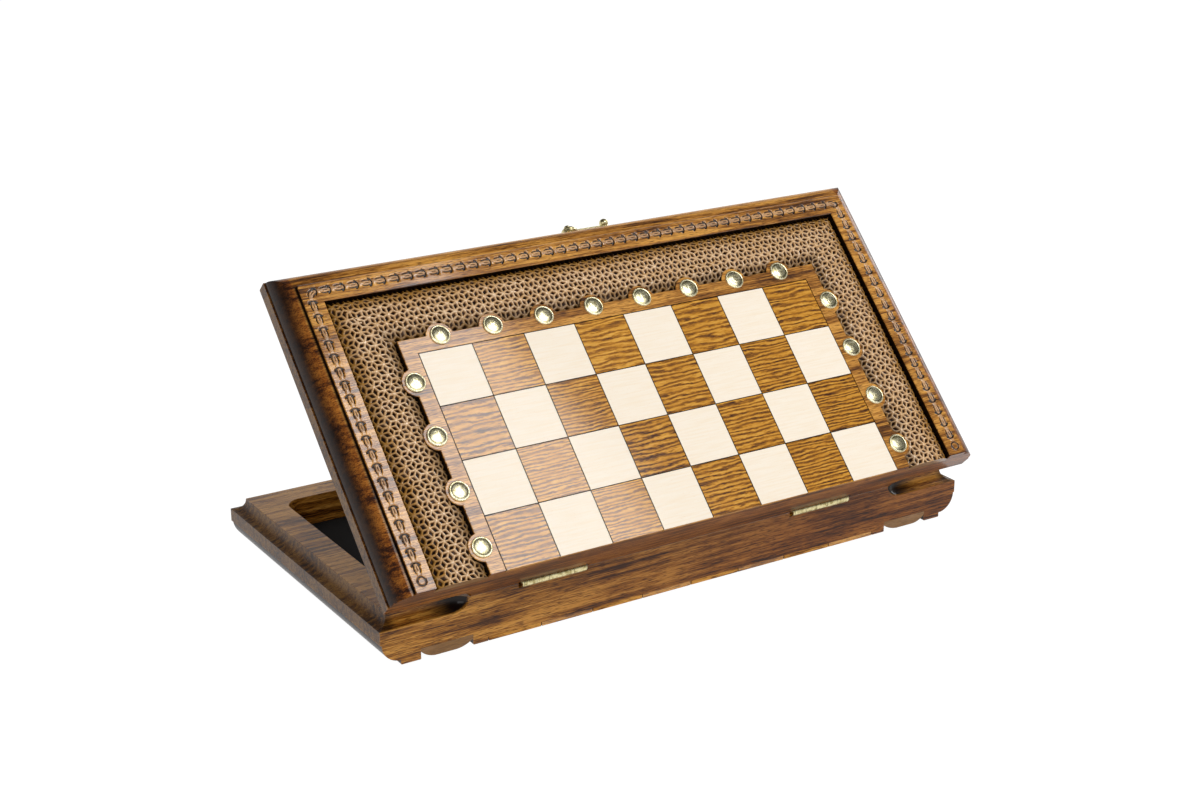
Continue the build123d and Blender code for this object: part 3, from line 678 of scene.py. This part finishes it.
@dataclass
class NetBorder:
    """The border carved as a net of six-rayed stars, in lengths mitred at the far corners."""

    tray: TrayFrame
    material: bpy.types.Material
    pitch: float = 7.64          # star to star along a length
    first_row: float = 4.4       # outer edge to the first row of stars
    pit_depth: float = 1.9
    step: float = 0.43           # grid step
    seat: float = 7.9            # depth of the underside
    edge: float = 5.5            # depths of the outer edge, the crown and the inner edge
    crown: float = 0.3
    sink: float = 5.0
    rise: float = 12.0           # width of the rise and of the fall
    fall: float = 14.0

    def section(self, t: np.ndarray) -> np.ndarray:
        """Depth of the moulding under the net: arcs that leave the level crown without a corner.

        An arc that falls by d over a width b has the radius R = (b^2 + d^2) / 2d, and lies
        R - sqrt(R^2 - x^2) below the crown at a distance x from it.
        """
        depth = np.full_like(t, self.crown)
        for width, low, distance in (
            (self.rise, self.edge, self.rise - t),
            (self.fall, self.sink, t - (BORDER_WIDTH - self.fall)),
        ):
            drop = low - self.crown
            radius = (width ** 2 + drop ** 2) / (2 * drop)
            x = np.clip(distance, 0, width)
            depth += radius - np.sqrt(radius ** 2 - x ** 2)
        return depth

    def net(self, s: np.ndarray, t: np.ndarray) -> tuple[np.ndarray, np.ndarray]:
        """How deep the net is cut at a point, and its relief from 0 in a pit to 1 on a rib.

        The plane is tiled by rhombi, one for each pair of neighbouring stars. In the frame of a
        rhombus with half diagonals A and B, r = 1 - |a|/A - |b|/B is 0 on its sides and 1 in its
        middle; the largest r of the three directions is that of the rhombus that holds the
        point. Its sides are the ribs, and it sinks from them by a smooth step.

        Args:
            s: distance along the length.
            t: distance from the outer edge.

        Returns:
            Depth in millimetres and relief.
        """
        # the hand's waver along and across the length
        wave = 0.30 * np.sin(0.31 * s + 0.17 * t) + 0.22 * np.sin(0.83 * s - 0.41 * t + 1.3)
        sway = 0.28 * np.sin(0.23 * s - 0.29 * t + 0.6) + 0.20 * np.sin(0.71 * s + 0.53 * t)
        x, y = s + wave, t - self.first_row + sway
        half_long = self.pitch / 2
        half_short = self.pitch / (2 * sqrt(3))
        row_gap = self.pitch * sqrt(3) / 2
        inside = np.full_like(x, -1.0)
        site = np.zeros_like(x)
        for turn in (0, 60, 120):
            c, d = cos(radians(turn)), sin(radians(turn))
            along, across = x * c + y * d, y * c - x * d
            row = np.round(across / row_gap)
            b = across - row * row_gap
            slide = along - (row % 2) * half_long
            column = np.floor(slide / self.pitch)
            a = slide - (column + 0.5) * self.pitch
            r = 1 - np.abs(a) / half_long - np.abs(b) / half_short
            chance = np.sin(12.9898 * column + 78.233 * row + turn) * 43758.5453
            site = np.where(r > inside, chance - np.floor(chance), site)
            inside = np.maximum(inside, r)
        gap = half_long * half_short / np.hypot(half_long, half_short) * inside
        cut = smoothstep(0.26, 1.35, gap)
        depth = self.pit_depth * (0.70 + 0.50 * site) * cut
        depth += 0.16 * np.clip(gap / 0.5, 0, 1) ** 2
        depth = depth * smoothstep(0.1, 0.9, s - WALL_GAP)
        # a row of small punched notches beside the band
        notch = np.hypot((np.mod(s, 2.55) - 1.275) / 0.85, (t - 1.35) / 0.95)
        punched = 1 - smoothstep(0.35, 1.0, notch)
        depth += 1.3 * punched
        relief = 1 - np.maximum(cut * (0.80 + 0.25 * site), punched)
        relief = np.clip(relief, 0, 1) * smoothstep(0.1, 0.7, t)
        return depth, relief

    def length(
        self, name: str, start: float, end: float,
        where: Callable[[np.ndarray, np.ndarray], tuple[np.ndarray, np.ndarray]],
        mitre: tuple[bool, bool],
    ) -> None:
        """Builds one length of the border as a closed slab.

        Args:
            name: the end of the piece's name.
            start: where its outer edge starts, along the side.
            end: where its outer edge ends.
            where: function that turns (s, t) into (u, v).
            mitre: whether the start and the end are cut at 45 degrees.
        """
        rows = round((end - start) / self.step) + 1
        columns = round(BORDER_WIDTH / self.step) + 1
        t = np.linspace(0.02, BORDER_WIDTH - 0.02, columns)[None, :]
        share = np.linspace(0, 1, rows)[:, None]
        low = start + t * mitre[0]
        high = end - t * mitre[1]
        s = low + (high - low) * share
        t = np.broadcast_to(t, s.shape)
        cut, relief = self.net(s, t)
        w = np.minimum(self.section(t) + cut, self.seat - 0.3)
        u, v = where(s, t)
        top = np.stack([u, v, w], -1)
        seats = top[:, [0, -1]].copy()
        seats[..., 2] = self.seat
        count = rows * columns
        points = np.concatenate([top.reshape(-1, 3), seats.reshape(-1, 3)])
        quads = grid_quads(rows, columns)
        i = np.arange(rows - 1)
        outer, inner = count + 2 * i, count + 2 * i + 1
        first, last = i * columns, i * columns + columns - 1
        outer_wall = np.stack([first + columns, first, outer, outer + 2], 1)
        inner_wall = np.stack([last, last + columns, inner + 2, inner], 1)
        under = np.stack([outer + 2, outer, inner, inner + 2], 1)
        caps = np.concatenate([top[0], seats[0, ::-1], top[-1], seats[-1, ::-1]])
        cap = len(points) + np.arange(columns + 2)[None, :]
        points = np.concatenate([points, caps])
        faces = [quads, outer_wall, inner_wall, under, cap[:, ::-1], cap + columns + 2]
        # golden beside the band and the field, and darker towards the field
        tone = np.clip(1.15 - t / 13.0, 0, 1) + 0.5 * smoothstep(28.0, 40.0, t)
        shadow = 0.45 * smoothstep(25.0, 37.0, t) + 0.30 * (1 - smoothstep(3.0, 12.0, t))
        looks = {"relief": (relief, 0.6), "tone": (np.clip(tone, 0, 1), 0.6), "shadow": (shadow, 0.0)}
        values = {
            key: np.concatenate([value.ravel(), np.zeros(2 * rows), np.full(len(caps), plain)])
            for key, (value, plain) in looks.items()
        }
        data = MeshData(points, faces, values)
        if np.cross(top[1, 0] - top[0, 0], top[0, 1] - top[0, 0])[2] < 0:
            data = data.turned_over()
        body = self.tray.body.value
        build_object(
            f"{body}_net_{name}", data, self.tray.to_row, self.tray.body, self.material,
            (f"{body}_carved_border",), sharp=80.0,
        )

    def build(self) -> None:
        """The two side lengths and the two halves of the far one."""
        low, high, middle = BORDER_INSET, LENGTH - BORDER_INSET, LENGTH / 2
        self.length("low", WALL_GAP, BORDER_FAR, lambda s, t: (low + t, s), (False, True))
        self.length("high", WALL_GAP, BORDER_FAR, lambda s, t: (high - t, s), (False, True))
        self.length("far_low", low, middle, lambda s, t: (s, BORDER_FAR - t), (True, False))
        self.length("far_high", middle, high, lambda s, t: (s, BORDER_FAR - t), (False, True))


# ---------------------------------------------------------------- carved chain


@dataclass
class BandChain:
    """The chain of overlapping scales, gouged into the band, with a ring at each end."""

    tray: TrayFrame
    material: bpy.types.Material
    inset: float = 21.5          # middle of the chain, from the edge of the tray
    half_width: float = 3.97
    start: float = 2.43          # hinge edge to the round end
    bend: float = 5.0
    unit: float = 10.5           # one scale
    plain: float = 9.5           # each end, before the first scale
    cut_depth: float = 0.82
    depth: float = 0.88          # floor of the path
    step: float = 0.36
    columns: int = 23            # points across it

    @property
    def runs(self) -> tuple[float, float, float]:
        """Lengths of a straight side, of a corner's arc and of the straight far run."""
        side = WIDTH - self.inset - self.bend - self.start
        return side, self.bend * pi / 2, LENGTH - 2 * (self.inset + self.bend)

    @property
    def total(self) -> float:
        """Length of the path between its round ends."""
        up, arc, across = self.runs
        return 2 * (up + arc) + across

    def centre_line(self, s: np.ndarray) -> tuple[np.ndarray, np.ndarray, np.ndarray]:
        """Point, and unit vector to the outer side, at a distance s along the chain.

        Straight up one side, a quarter circle, straight across, a quarter circle, straight down.
        On an arc of radius r after a length a, the turn is (s - a) / r.

        Args:
            s: distances from the first round end.

        Returns:
            u and v of the line, and the unit vectors to the outer side.
        """
        up, arc, across = self.runs
        first = np.clip((s - up) / self.bend, 0, pi / 2)
        second = np.clip((s - up - arc - across) / self.bend, 0, pi / 2)
        run_up = np.minimum(s, up)
        run_across = np.clip(s - up - arc, 0, across)
        run_down = np.maximum(s - up - 2 * arc - across, 0)
        u = self.inset + self.bend * (1 - np.cos(first)) + run_across + self.bend * np.sin(second)
        v = self.start + run_up + self.bend * np.sin(first)
        v = v - self.bend * (1 - np.cos(second)) - run_down
        angle = first + second
        normal = np.stack([-np.cos(angle), np.sin(angle)], -1)
        return u, v, normal

    def relief(self, s: np.ndarray, t: np.ndarray) -> tuple[np.ndarray, np.ndarray]:
        """Depth of the gouge cuts, and the wear and painted highlight of the wood between them.

        Each scale is a bar with a groove along each side, and a crescent cut closes its front:
        the cut is a Gaussian of the distance to an arc, deeper towards the arc's feet.

        Args:
            s: distance along the chain.
            t: distance from its middle line.

        Returns:
            Depth in millimetres, and wear and painted highlight from 0 to 1.
        """
        total = self.total
        run = total - 2 * self.plain
        unit = run / round(run / self.unit)
        x = np.mod(s - self.plain, unit) * self.unit / unit
        on_run = smoothstep(8.6, 9.4, s) * (1 - smoothstep(total - 9.2, total - 8.4, s))
        cut = np.zeros_like(s)
        for ahead in (0.0, self.unit):
            reach = np.hypot(x + ahead - 5.4, t)
            angle = np.abs(np.arctan2(t, x + ahead - 5.4))
            shown = 1 - smoothstep(1.15, 1.50, angle)
            crescent = np.exp(-((reach - 3.15) / (0.46 + 0.26 * angle)) ** 2) * shown
            cut = np.maximum(cut, crescent)
        taper = smoothstep(0.0, 2.5, x) * (1 - smoothstep(6.6, 7.8, x))
        half = 1.1 + 1.0 * np.sin(np.clip(x / 8.0, 0, 1) * pi)
        grooves = 0.95 * np.exp(-((np.abs(t) - half) / 0.42) ** 2) * taper
        vein = 0.7 * np.exp(-(t / 0.3) ** 2)
        vein = vein * smoothstep(2.0, 4.0, x) * (1 - smoothstep(6.0, 7.0, x))
        cut = np.maximum(np.maximum(cut, grooves), vein) * on_run
        bar = np.clip(1 - (np.abs(t) / 1.8) ** 4, 0, 1) * on_run
        for centre in (4.87, total - 4.87):
            ring = np.exp(-((np.hypot(s - centre, t) - 3.05) / 0.46) ** 2)
            cut = np.maximum(cut, 0.85 * ring)
        # the bars' pale tops: wear and painted highlight
        wear_and_highlight = bar * (1 - cut)
        return self.cut_depth * cut - 0.22 * bar * (1 - np.minimum(cut * 2, 1)), wear_and_highlight

    def build(self) -> None:
        """The strip that fills the sunk path, its face level with the band."""
        rows, columns = round(self.total / self.step) + 1, self.columns
        s = np.linspace(0.0, self.total, rows)[:, None]
        into_end = np.clip(self.half_width - np.minimum(s, self.total - s), 0, None)
        half = np.sqrt(np.clip(self.half_width ** 2 - into_end ** 2, 0.01, None))
        t = half * np.linspace(-1, 1, columns)[None, :]
        s = np.broadcast_to(s, t.shape)
        u, v, normal = self.centre_line(s)
        cut, wear_and_highlight = self.relief(s, t)
        edge = smoothstep(0.0, 0.3, half - np.abs(t))
        w = np.minimum(0.005 + cut * edge, self.depth - 0.03)
        points = np.stack([u + t * normal[..., 0], v + t * normal[..., 1], w], -1)
        top = points.reshape(-1, 3)
        bottom = top.copy()
        bottom[:, 2] = self.depth
        count = len(top)
        quads = grid_quads(rows, columns)
        rim = np.concatenate([
            np.arange(columns), np.arange(1, rows) * columns + columns - 1,
            (rows - 1) * columns + np.arange(columns - 2, -1, -1),
            np.arange(rows - 2, 0, -1) * columns,
        ])
        after = np.roll(rim, -1)
        walls = np.stack([after, rim, rim + count, after + count], 1)
        faces = [quads, walls, quads[:, ::-1] + count]
        looks = {"relief": 1 - np.clip(cut / self.cut_depth, 0, 1), "tone": wear_and_highlight}
        values = {
            key: np.concatenate([value.ravel(), np.zeros(count)]) for key, value in looks.items()
        }
        data = MeshData(np.concatenate([top, bottom]), faces, values)
        if np.cross(points[1, 5] - points[0, 5], points[0, 6] - points[0, 5])[2] < 0:
            data = data.turned_over()
        # travel runs from the side of file a, which is the high side of the tray's frame
        data.points[:, 0] = LENGTH - data.points[:, 0]
        build_object(
            f"{self.tray.body.value}_chain", data.turned_over(), self.tray.to_row, self.tray.body,
            self.material, sharp=80.0,
        )


# ---------------------------------------------------------------- studs


@dataclass
class Studs:
    """Sixteen low domed brass studs with the board's letters and numbers raised on them."""

    tray: TrayFrame
    material: bpy.types.Material
    radius: float = 7.6
    height: float = 1.72
    inset: float = 1.2
    letter_height: float = 6.8
    letter_rise: float = 0.40
    shank_radius: float = 1.5
    shank: float = 7.0

    def dome(self, r: np.ndarray) -> np.ndarray:
        """Height of the dome at a radius: a shallow sphere inside a rounded bead.

        The sphere has the radius R = (a^2 + b^2) / 2b for a width a and a rise b. The bead is
        the upper half of an ellipse, 1.7 wide and 0.9 high, on an edge 0.35 high.
        """
        rise, width = self.height - 0.95, 6.5
        ball = (width ** 2 + rise ** 2) / (2 * rise)
        cap = self.height - (ball - np.sqrt(np.clip(ball ** 2 - r ** 2, 0, None)))
        bead = 0.35 + 0.9 * np.sqrt(np.clip(1 - ((r - 6.75) / 0.85) ** 2, 0, 1))
        return np.where(r < 5.9, cap, bead)

    def head(self) -> MeshData:
        """One stud: its dome, its edge down to the board and its shank, closed."""
        radii = np.concatenate([np.linspace(7.58, 6.2, 12), np.linspace(5.6, 0.6, 9)])
        profile = [(0.0, -self.shank), (self.shank_radius, -self.shank), (self.shank_radius, 0.0),
                   (self.radius, 0.0), (self.radius, 0.25)]
        profile += list(zip(radii, self.dome(radii)))
        profile += [(0.0, float(self.dome(np.array(0.0))))]
        form = lathe(profile, 40)
        r = np.hypot(form.points[:, 0], form.points[:, 1])
        beside_bead = 0.6 * smoothstep(4.9, 5.6, r) - 0.95 * smoothstep(5.8, 6.4, r)
        form.values["patina"] = 0.35 + beside_bead
        return form

    def glyph(self, sign: str) -> MeshData:
        """One raised letter or number, cut fine enough to follow the dome.

        Args:
            sign: the letter or number.

        Returns:
            The mesh, upright in its plane, with z as height above the board face.
        """
        curve = bpy.data.curves.new("glyph", "FONT")
        curve.body = sign
        curve.align_x = "CENTER"
        curve.size = 9.3
        curve.extrude = self.letter_rise
        curve.offset = 0.10
        curve.resolution_u = 3
        text = bpy.data.objects.new("glyph", curve)
        mesh = bpy.data.meshes.new_from_object(text)
        form = bmesh.new()
        form.from_mesh(mesh)
        for axis in (Vector((1, 0, 0)), Vector((0, 1, 0))):
            for place in np.arange(-5.0, 12.0, 1.1):
                geometry = form.verts[:] + form.edges[:] + form.faces[:]
                bmesh.ops.bisect_plane(form, geom=geometry, plane_co=axis * place, plane_no=axis)
        bmesh.ops.triangulate(form, faces=form.faces[:])
        form.verts.index_update()
        points = np.array([tuple(vertex.co) for vertex in form.verts])
        faces = np.array([[vertex.index for vertex in face.verts] for face in form.faces])
        form.free()
        bpy.data.objects.remove(text)
        bpy.data.curves.remove(curve)
        bpy.data.meshes.remove(mesh)
        low, high = points[:, 1].min(), points[:, 1].max()
        scale = self.letter_height / (high - low)
        points[:, 0] *= scale
        points[:, 1] = (points[:, 1] - (low + high) / 2) * scale
        foot = points[:, 2] < 0
        points[:, 2] += self.dome(np.hypot(points[:, 0], points[:, 1])) - 0.02
        return MeshData(points, [faces], {"patina": foot.astype(float)})

    def places(self) -> list[tuple[float, float, str]]:
        """Where each stud stands, and its sign: files along the far side, ranks on both sides."""
        files = "HGFEDCBA" if self.tray.lid else "ABCDEFGH"
        ranks = "5678" if self.tray.lid else "4321"
        found = [
            (BOARD_INSET + (i + 0.5) * SQUARE, FIELD_FAR - self.inset, sign)
            for i, sign in enumerate(files)
        ]
        low = FIELD_INSET + self.inset
        for i, sign in enumerate(ranks):
            found += [(u, (i + 0.5) * SQUARE - HINGE_TRIM, sign) for u in (low, LENGTH - low)]
        return found

    def build(self) -> None:
        """All sixteen in one piece, with their signs upright for a player at rank 1."""
        head = self.head()
        glyphs = {sign: self.glyph(sign) for _, _, sign in self.places()}
        parts = []
        for u, v, sign in self.places():
            for part in (head, glyphs[sign]):
                x, y, z = part.points.T
                # seen from outside: up is +v on the lid and -v on the base; z points to -w
                way = -1.0 if self.tray.lid else 1.0
                points = np.stack([u + way * x, v - way * y, -z], 1)
                parts.append(MeshData(points, part.faces, part.values))
        data = MeshData.joined(parts)
        name = self.tray.body.value
        build_object(f"{name}_lettered_studs", data, self.tray.to_row, self.tray.body,
                     self.material, (f"{name}_studs",), sharp=35.0)


# ---------------------------------------------------------------- hinges and clasp


@dataclass
class Fittings:
    """Brass hardware of one finish."""

    material: bpy.types.Material

    def piece(
        self, name: str, data: MeshData, place: Place, body: Body, *stands_for: str,
        sharp: float = 60.0,
    ) -> None:
        """Builds one piece of the hardware; the arguments are those of build_object."""
        build_object(name, data, place, body, self.material, stands_for, sharp)


@dataclass
class Hinges(Fittings):
    """Turned details of the two butt hinges: ringed knuckles, pin heads and slotted screws."""

    from_end: float = 134.0
    length: float = 50.0
    knuckles: int = 5
    gap: float = 0.15
    radius: float = 2.92

    def along_axis(self, centre: float) -> Place:
        """Place function for a form turned about z: z runs along the hinge axis from centre."""
        def place(points: np.ndarray) -> np.ndarray:
            x, y, z = points.T
            return closed_to_row(np.stack([centre + z, x, AXIS_HEIGHT + y], 1))
        return place

    def sleeve(self, start: float, end: float) -> MeshData:
        """A knuckle's surface: a barrel with a bead and a groove at each end."""
        r = self.radius
        half = [(0.0, r - 0.25), (0.15, r), (0.7, r), (0.9, r - 0.35), (1.2, r - 0.35),
                (1.4, r), (1.9, r), (2.1, r - 0.3), (2.35, r - 0.3), (2.55, r - 0.04)]
        ring = [(radius, start + x) for x, radius in half]
        ring += [(radius, end - x) for x, radius in reversed(half)]
        return lathe([(0.0, start), (1.2, start)] + ring + [(1.2, end), (0.0, end)], 28)

    def pin(self) -> MeshData:
        """The pin with a rounded head at each end."""
        half = self.length / 2
        head = [(0.0, half + 1.19), (1.3, half + 1.14), (2.3, half + 0.95), (2.8, half + 0.6),
                (2.85, half + 0.1), (1.1, half + 0.02)]
        return lathe([(r, -z) for r, z in head] + [(r, z) for r, z in reversed(head)], 28)

    def screw(self) -> MeshData:
        """A slotted countersunk head on a shank: a disc on a polar grid, sunk near y = 0."""
        steps, radii = 48, np.array([2.48, 2.3, 1.9, 1.5, 1.1, 0.7, 0.4, 0.2])
        angle = 2 * pi * (np.arange(steps) + 0.5) / steps
        x, y = radii[:, None] * np.cos(angle), radii[:, None] * np.sin(angle)
        slot = 1 - smoothstep(0.28, 0.40, np.abs(y))
        z = -0.02 - 0.55 * slot * (radii[:, None] < 2.4)
        rings = np.stack([x, y, z], -1).reshape(-1, 3)
        shank = lathe([(0.0, -9.0), (1.3, -9.0), (1.3, -1.2), (2.48, -0.021), (0.0, -0.6)], 16)
        cap = np.array([[0.0, 0.0, -0.57]])
        here = np.arange(len(rings) - steps, len(rings))
        after = np.roll(here, -1)
        fan = np.stack([here, after, np.full(steps, len(rings))], 1)
        quads = grid_quads(len(radii), steps, around=True)
        return MeshData.joined([MeshData(np.concatenate([rings, cap]), [quads, fan]), shank])

    def screws(self, tray: TrayFrame) -> None:
        """The screws of one side of both hinges."""
        head = self.screw()
        parts = []
        for centre in (self.from_end, LENGTH - self.from_end):
            for step in (-17.0, 0.0, 17.0):
                turn = 0.7 + 1.9 * len(parts)
                x, y, z = head.points.T
                u = centre + step + x * cos(turn) - y * sin(turn)
                v = 10.0 + x * sin(turn) + y * cos(turn)
                parts.append(MeshData(np.stack([u, v, TRAY_HEIGHT + z], 1), head.faces))
        name = tray.body.value
        self.piece(f"{name}_slotted_screws", MeshData.joined(parts), tray.to_row, tray.body,
                   f"{name}_hinge_screws", sharp=30.0)

    def build(self, base: TrayFrame, lid: TrayFrame) -> None:
        """Knuckle surfaces for both leaves of both hinges, the pins and the screws."""
        pitch = self.length / self.knuckles
        for side, centre in (("left", self.from_end), ("right", LENGTH - self.from_end)):
            for tray, own in ((base, (0, 2, 4)), (lid, (1, 3))):
                parts = [
                    self.sleeve(-self.length / 2 + i * pitch + self.gap,
                                -self.length / 2 + (i + 1) * pitch - self.gap)
                    for i in own
                ]
                self.piece(f"{tray.body.value}_knuckles_{side}", MeshData.joined(parts),
                           self.along_axis(centre), tray.body, sharp=50.0)
            self.piece(f"pin_{side}", self.pin(), self.along_axis(centre), Body.BASE,
                       f"hinge_pin_{side}", sharp=50.0)
        self.screws(base)
        self.screws(lid)


@dataclass
class Clasp(Fittings):
    """The hook clasp in the middle of the far walls."""

    from_rim: float = 14.5
    reach: float = 32.3
    washer: float = 1.2
    plate: float = 1.6
    shank: float = 9.0

    def on_wall(self, height: float, across: float = 0.0, opening: float = OPEN_ANGLE) -> Place:
        """Place function for a form whose z points out of the far wall of the closed box."""
        def place(points: np.ndarray) -> np.ndarray:
            x, y, z = points.T
            closed = np.stack([LENGTH / 2 + across + x, WIDTH + z, height - y], 1)
            return closed_to_row(closed, opening)
        return place

    def build(self) -> None:
        """The knob on the pivot, the ball and the eye of the hook, and the head of the catch."""
        pivot = 2 * AXIS_HEIGHT - TRAY_HEIGHT + self.from_rim
        low = self.washer + 0.1
        base = self.washer + self.plate
        foot = base + 0.1
        knob = [(0.0, -self.shank), (1.5, -self.shank)] + smooth_profile([
            (1.5, foot), (5.45, foot), (5.5, foot + 1.3), (4.6, foot + 2.4), (3.2, foot + 2.7),
            (2.3, foot + 2.9), (2.35, foot + 4.2), (1.6, foot + 5.0), (0.0, foot + 5.15)])
        self.piece("clasp_knob", lathe(knob), self.on_wall(pivot), Body.LID, "clasp_pivot_screw")
        ball = smooth_profile([
            (0.0, low), (2.2, low), (2.4, base + 0.35), (1.9, base + 0.7), (3.2, base + 1.5),
            (3.38, base + 2.9), (2.9, base + 4.6), (1.4, base + 5.75), (0.0, base + 5.95)])
        self.piece("clasp_ball", lathe(ball), self.on_wall(pivot, self.reach), Body.HOOK)
        eye = smooth_profile([
            (2.0, low + 0.2), (6.3, low + 0.2), (6.6, low + 0.7), (6.5, base + 0.05),
            (5.9, base + 0.08), (5.6, base - 0.1), (2.0, base - 0.12)])
        self.piece("clasp_eye", lathe(eye, ring=True), self.on_wall(pivot), Body.HOOK)
        catch = smooth_profile([
            (0.0, -self.shank), (1.45, -self.shank), (1.5, 0.0), (2.6, 0.0), (2.6, 0.8),
            (1.5, 1.05), (1.5, 3.0), (2.75, 3.15), (2.78, 3.9), (1.9, 4.5), (0.0, 4.58)])
        below = TRAY_HEIGHT - self.from_rim
        self.piece("clasp_stud", lathe(catch), self.on_wall(below, opening=0.0), Body.BASE,
                   "clasp_catch")


# ---------------------------------------------------------------- studio


@dataclass
class Studio:
    """Pale floor, white surroundings, soft boxes and the camera of the photograph."""

    camera_place: tuple[float, float, float] = (-0.78632, -1.22629, 0.63831)
    camera_turn: tuple[float, float, float] = (70.0507, -0.0905, -32.4357)   # degrees
    lens: float = 61.996

    def camera(self) -> None:
        """The camera: its place, aim and lens were worked out from the edges in the photograph."""
        data = bpy.data.cameras.new("camera")
        data.lens = self.lens
        data.sensor_width = 36.0
        eye = put("camera", data)
        eye.location = self.camera_place
        eye.rotation_euler = [radians(angle) for angle in self.camera_turn]
        bpy.context.scene.camera = eye

    def soft_box(
        self, name: str, place: tuple[float, float, float], aim: tuple[float, float, float],
        size: tuple[float, float], radiance: float, roll: float = 0.0,
    ) -> None:
        """A rectangular lamp; its power is pi times its area times the radiance of its face.

        Args:
            name: the lamp's name.
            place: its middle, in metres.
            aim: the point that it faces.
            size: its width and height in metres.
            radiance: how bright its face is, where 1 is white.
            roll: its turn about its own axis in degrees.
        """
        data = bpy.data.lights.new(name, "AREA")
        data.shape = "RECTANGLE"
        data.size, data.size_y = size
        data.energy = pi * size[0] * size[1] * radiance
        lamp = put(name, data)
        lamp.location = place
        turn = (Vector(aim) - Vector(place)).to_track_quat("-Z", "Y").to_euler()
        turn.rotate_axis("Z", radians(roll))
        lamp.rotation_euler = turn

    def floor(self) -> None:
        """A plain white floor that keeps the object's shadow."""
        tree = Tree("studio_floor")
        rays = tree.add("LightPath").node.outputs
        shown = tree.math(
            "MAXIMUM", rays["Is Camera Ray"], rays["Is Glossy Ray"], rays["Is Transmission Ray"])
        paint = tree.add("BsdfDiffuse", {"Color": linear("#F2F2F2")})
        glow = tree.add("Emission", {"Color": (1, 1, 1, 1), "Strength": 1.12})
        surface = tree.add("MixShader", {0: tree.product(shown, 0.88), 1: paint, 2: glow})
        tree.add("OutputMaterial", {"Surface": surface})
        mesh = bpy.data.meshes.new("floor")
        reach = 6.0
        mesh.from_pydata([(-reach, -reach, 0), (reach, -reach, 0), (reach, reach, 0),
                          (-reach, reach, 0)], [], [(0, 1, 2, 3)])
        mesh.materials.append(tree.owner)
        floor = put("floor", mesh)

    def world(self) -> None:
        """White surroundings for the eye and in reflections near the horizon, a dim room above."""
        tree = Tree("studio", world=True)
        bpy.context.scene.world = tree.owner
        rays = tree.add("LightPath").node.outputs
        height = tree.parts(tree.add("TexCoord", out="Generated"))[2]
        mirrored = tree.product(tree.ranged(height, 0.55, 0.15, 0.10, 1.0), rays["Is Glossy Ray"])
        shown = tree.math("MAXIMUM", rays["Is Camera Ray"], rays["Is Transmission Ray"], mirrored)
        light = tree.math("ADD", shown, tree.product(rays["Is Diffuse Ray"], 0.45))
        sky = tree.add("Background", {"Color": (1, 1, 1, 1), "Strength": light})
        tree.add("OutputWorld", {"Surface": sky})

    def build(self) -> None:
        """Camera, floor, surroundings and lamps."""
        self.camera()
        self.floor()
        self.world()
        # the box whose edge crosses the board: its near corner mirrors there from above
        self.soft_box("key", (0.638, -1.152, 1.7), (0.638, -1.152, 0.0), (1.1, 0.9), 6.8, -50.6)
        self.soft_box("front", (-1.7, -1.5, 1.3), (0.0, 0.0, 0.1), (1.0, 1.0), 2.2)
        self.soft_box("right", (1.75, 0.35, 0.85), (0.15, 0.0, 0.1), (0.5, 1.1), 5.0)
        bpy.context.scene.view_settings.view_transform = "Standard"


# ---------------------------------------------------------------- the box


def dress(node: str, material: bpy.types.Material) -> None:
    """Gives a CAD node its finish."""
    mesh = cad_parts[node].data
    mesh.materials.clear()
    mesh.materials.append(material)
    log.info("%s: %s", node, material.name)


def main() -> None:
    """Builds the pieces of the box and dresses the CAD nodes."""
    base, lid = TrayFrame(Body.BASE), TrayFrame(Body.LID)
    studs = Brass("stud_brass", "#EFE8C6", "#C9BE8C", 0.24, patina=True).make()
    fittings = Brass("hardware_brass", "#E0D4A4", "#9C8C58", 0.26).make()
    felt = BlackFelt().make()
    for tray in (base, lid):
        name = tray.body.value
        dress(f"{name}_case", StainedBeech().make(tray))
        dress(f"{name}_light_squares", CreamMaple().make(tray))
        dress(f"{name}_dark_squares", DarkSquareBeech().make(tray))
        dress(f"{name}_lining", felt)
        NetBorder(tray, CarvedBeech().make(tray)).build()
        BandChain(tray, CarvedChain().make(tray)).build()
        Studs(tray, studs).build()
    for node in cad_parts:
        if "leaf" in node or "clasp" in node or "pin" in node or "screws" in node:
            dress(node, fittings)
        elif node.endswith(("_studs", "_carved_border")):
            dress(node, studs)
    Hinges(fittings).build(base, lid)
    Clasp(fittings).build()
    Studio().build()


if __name__ == "__main__":
    main()
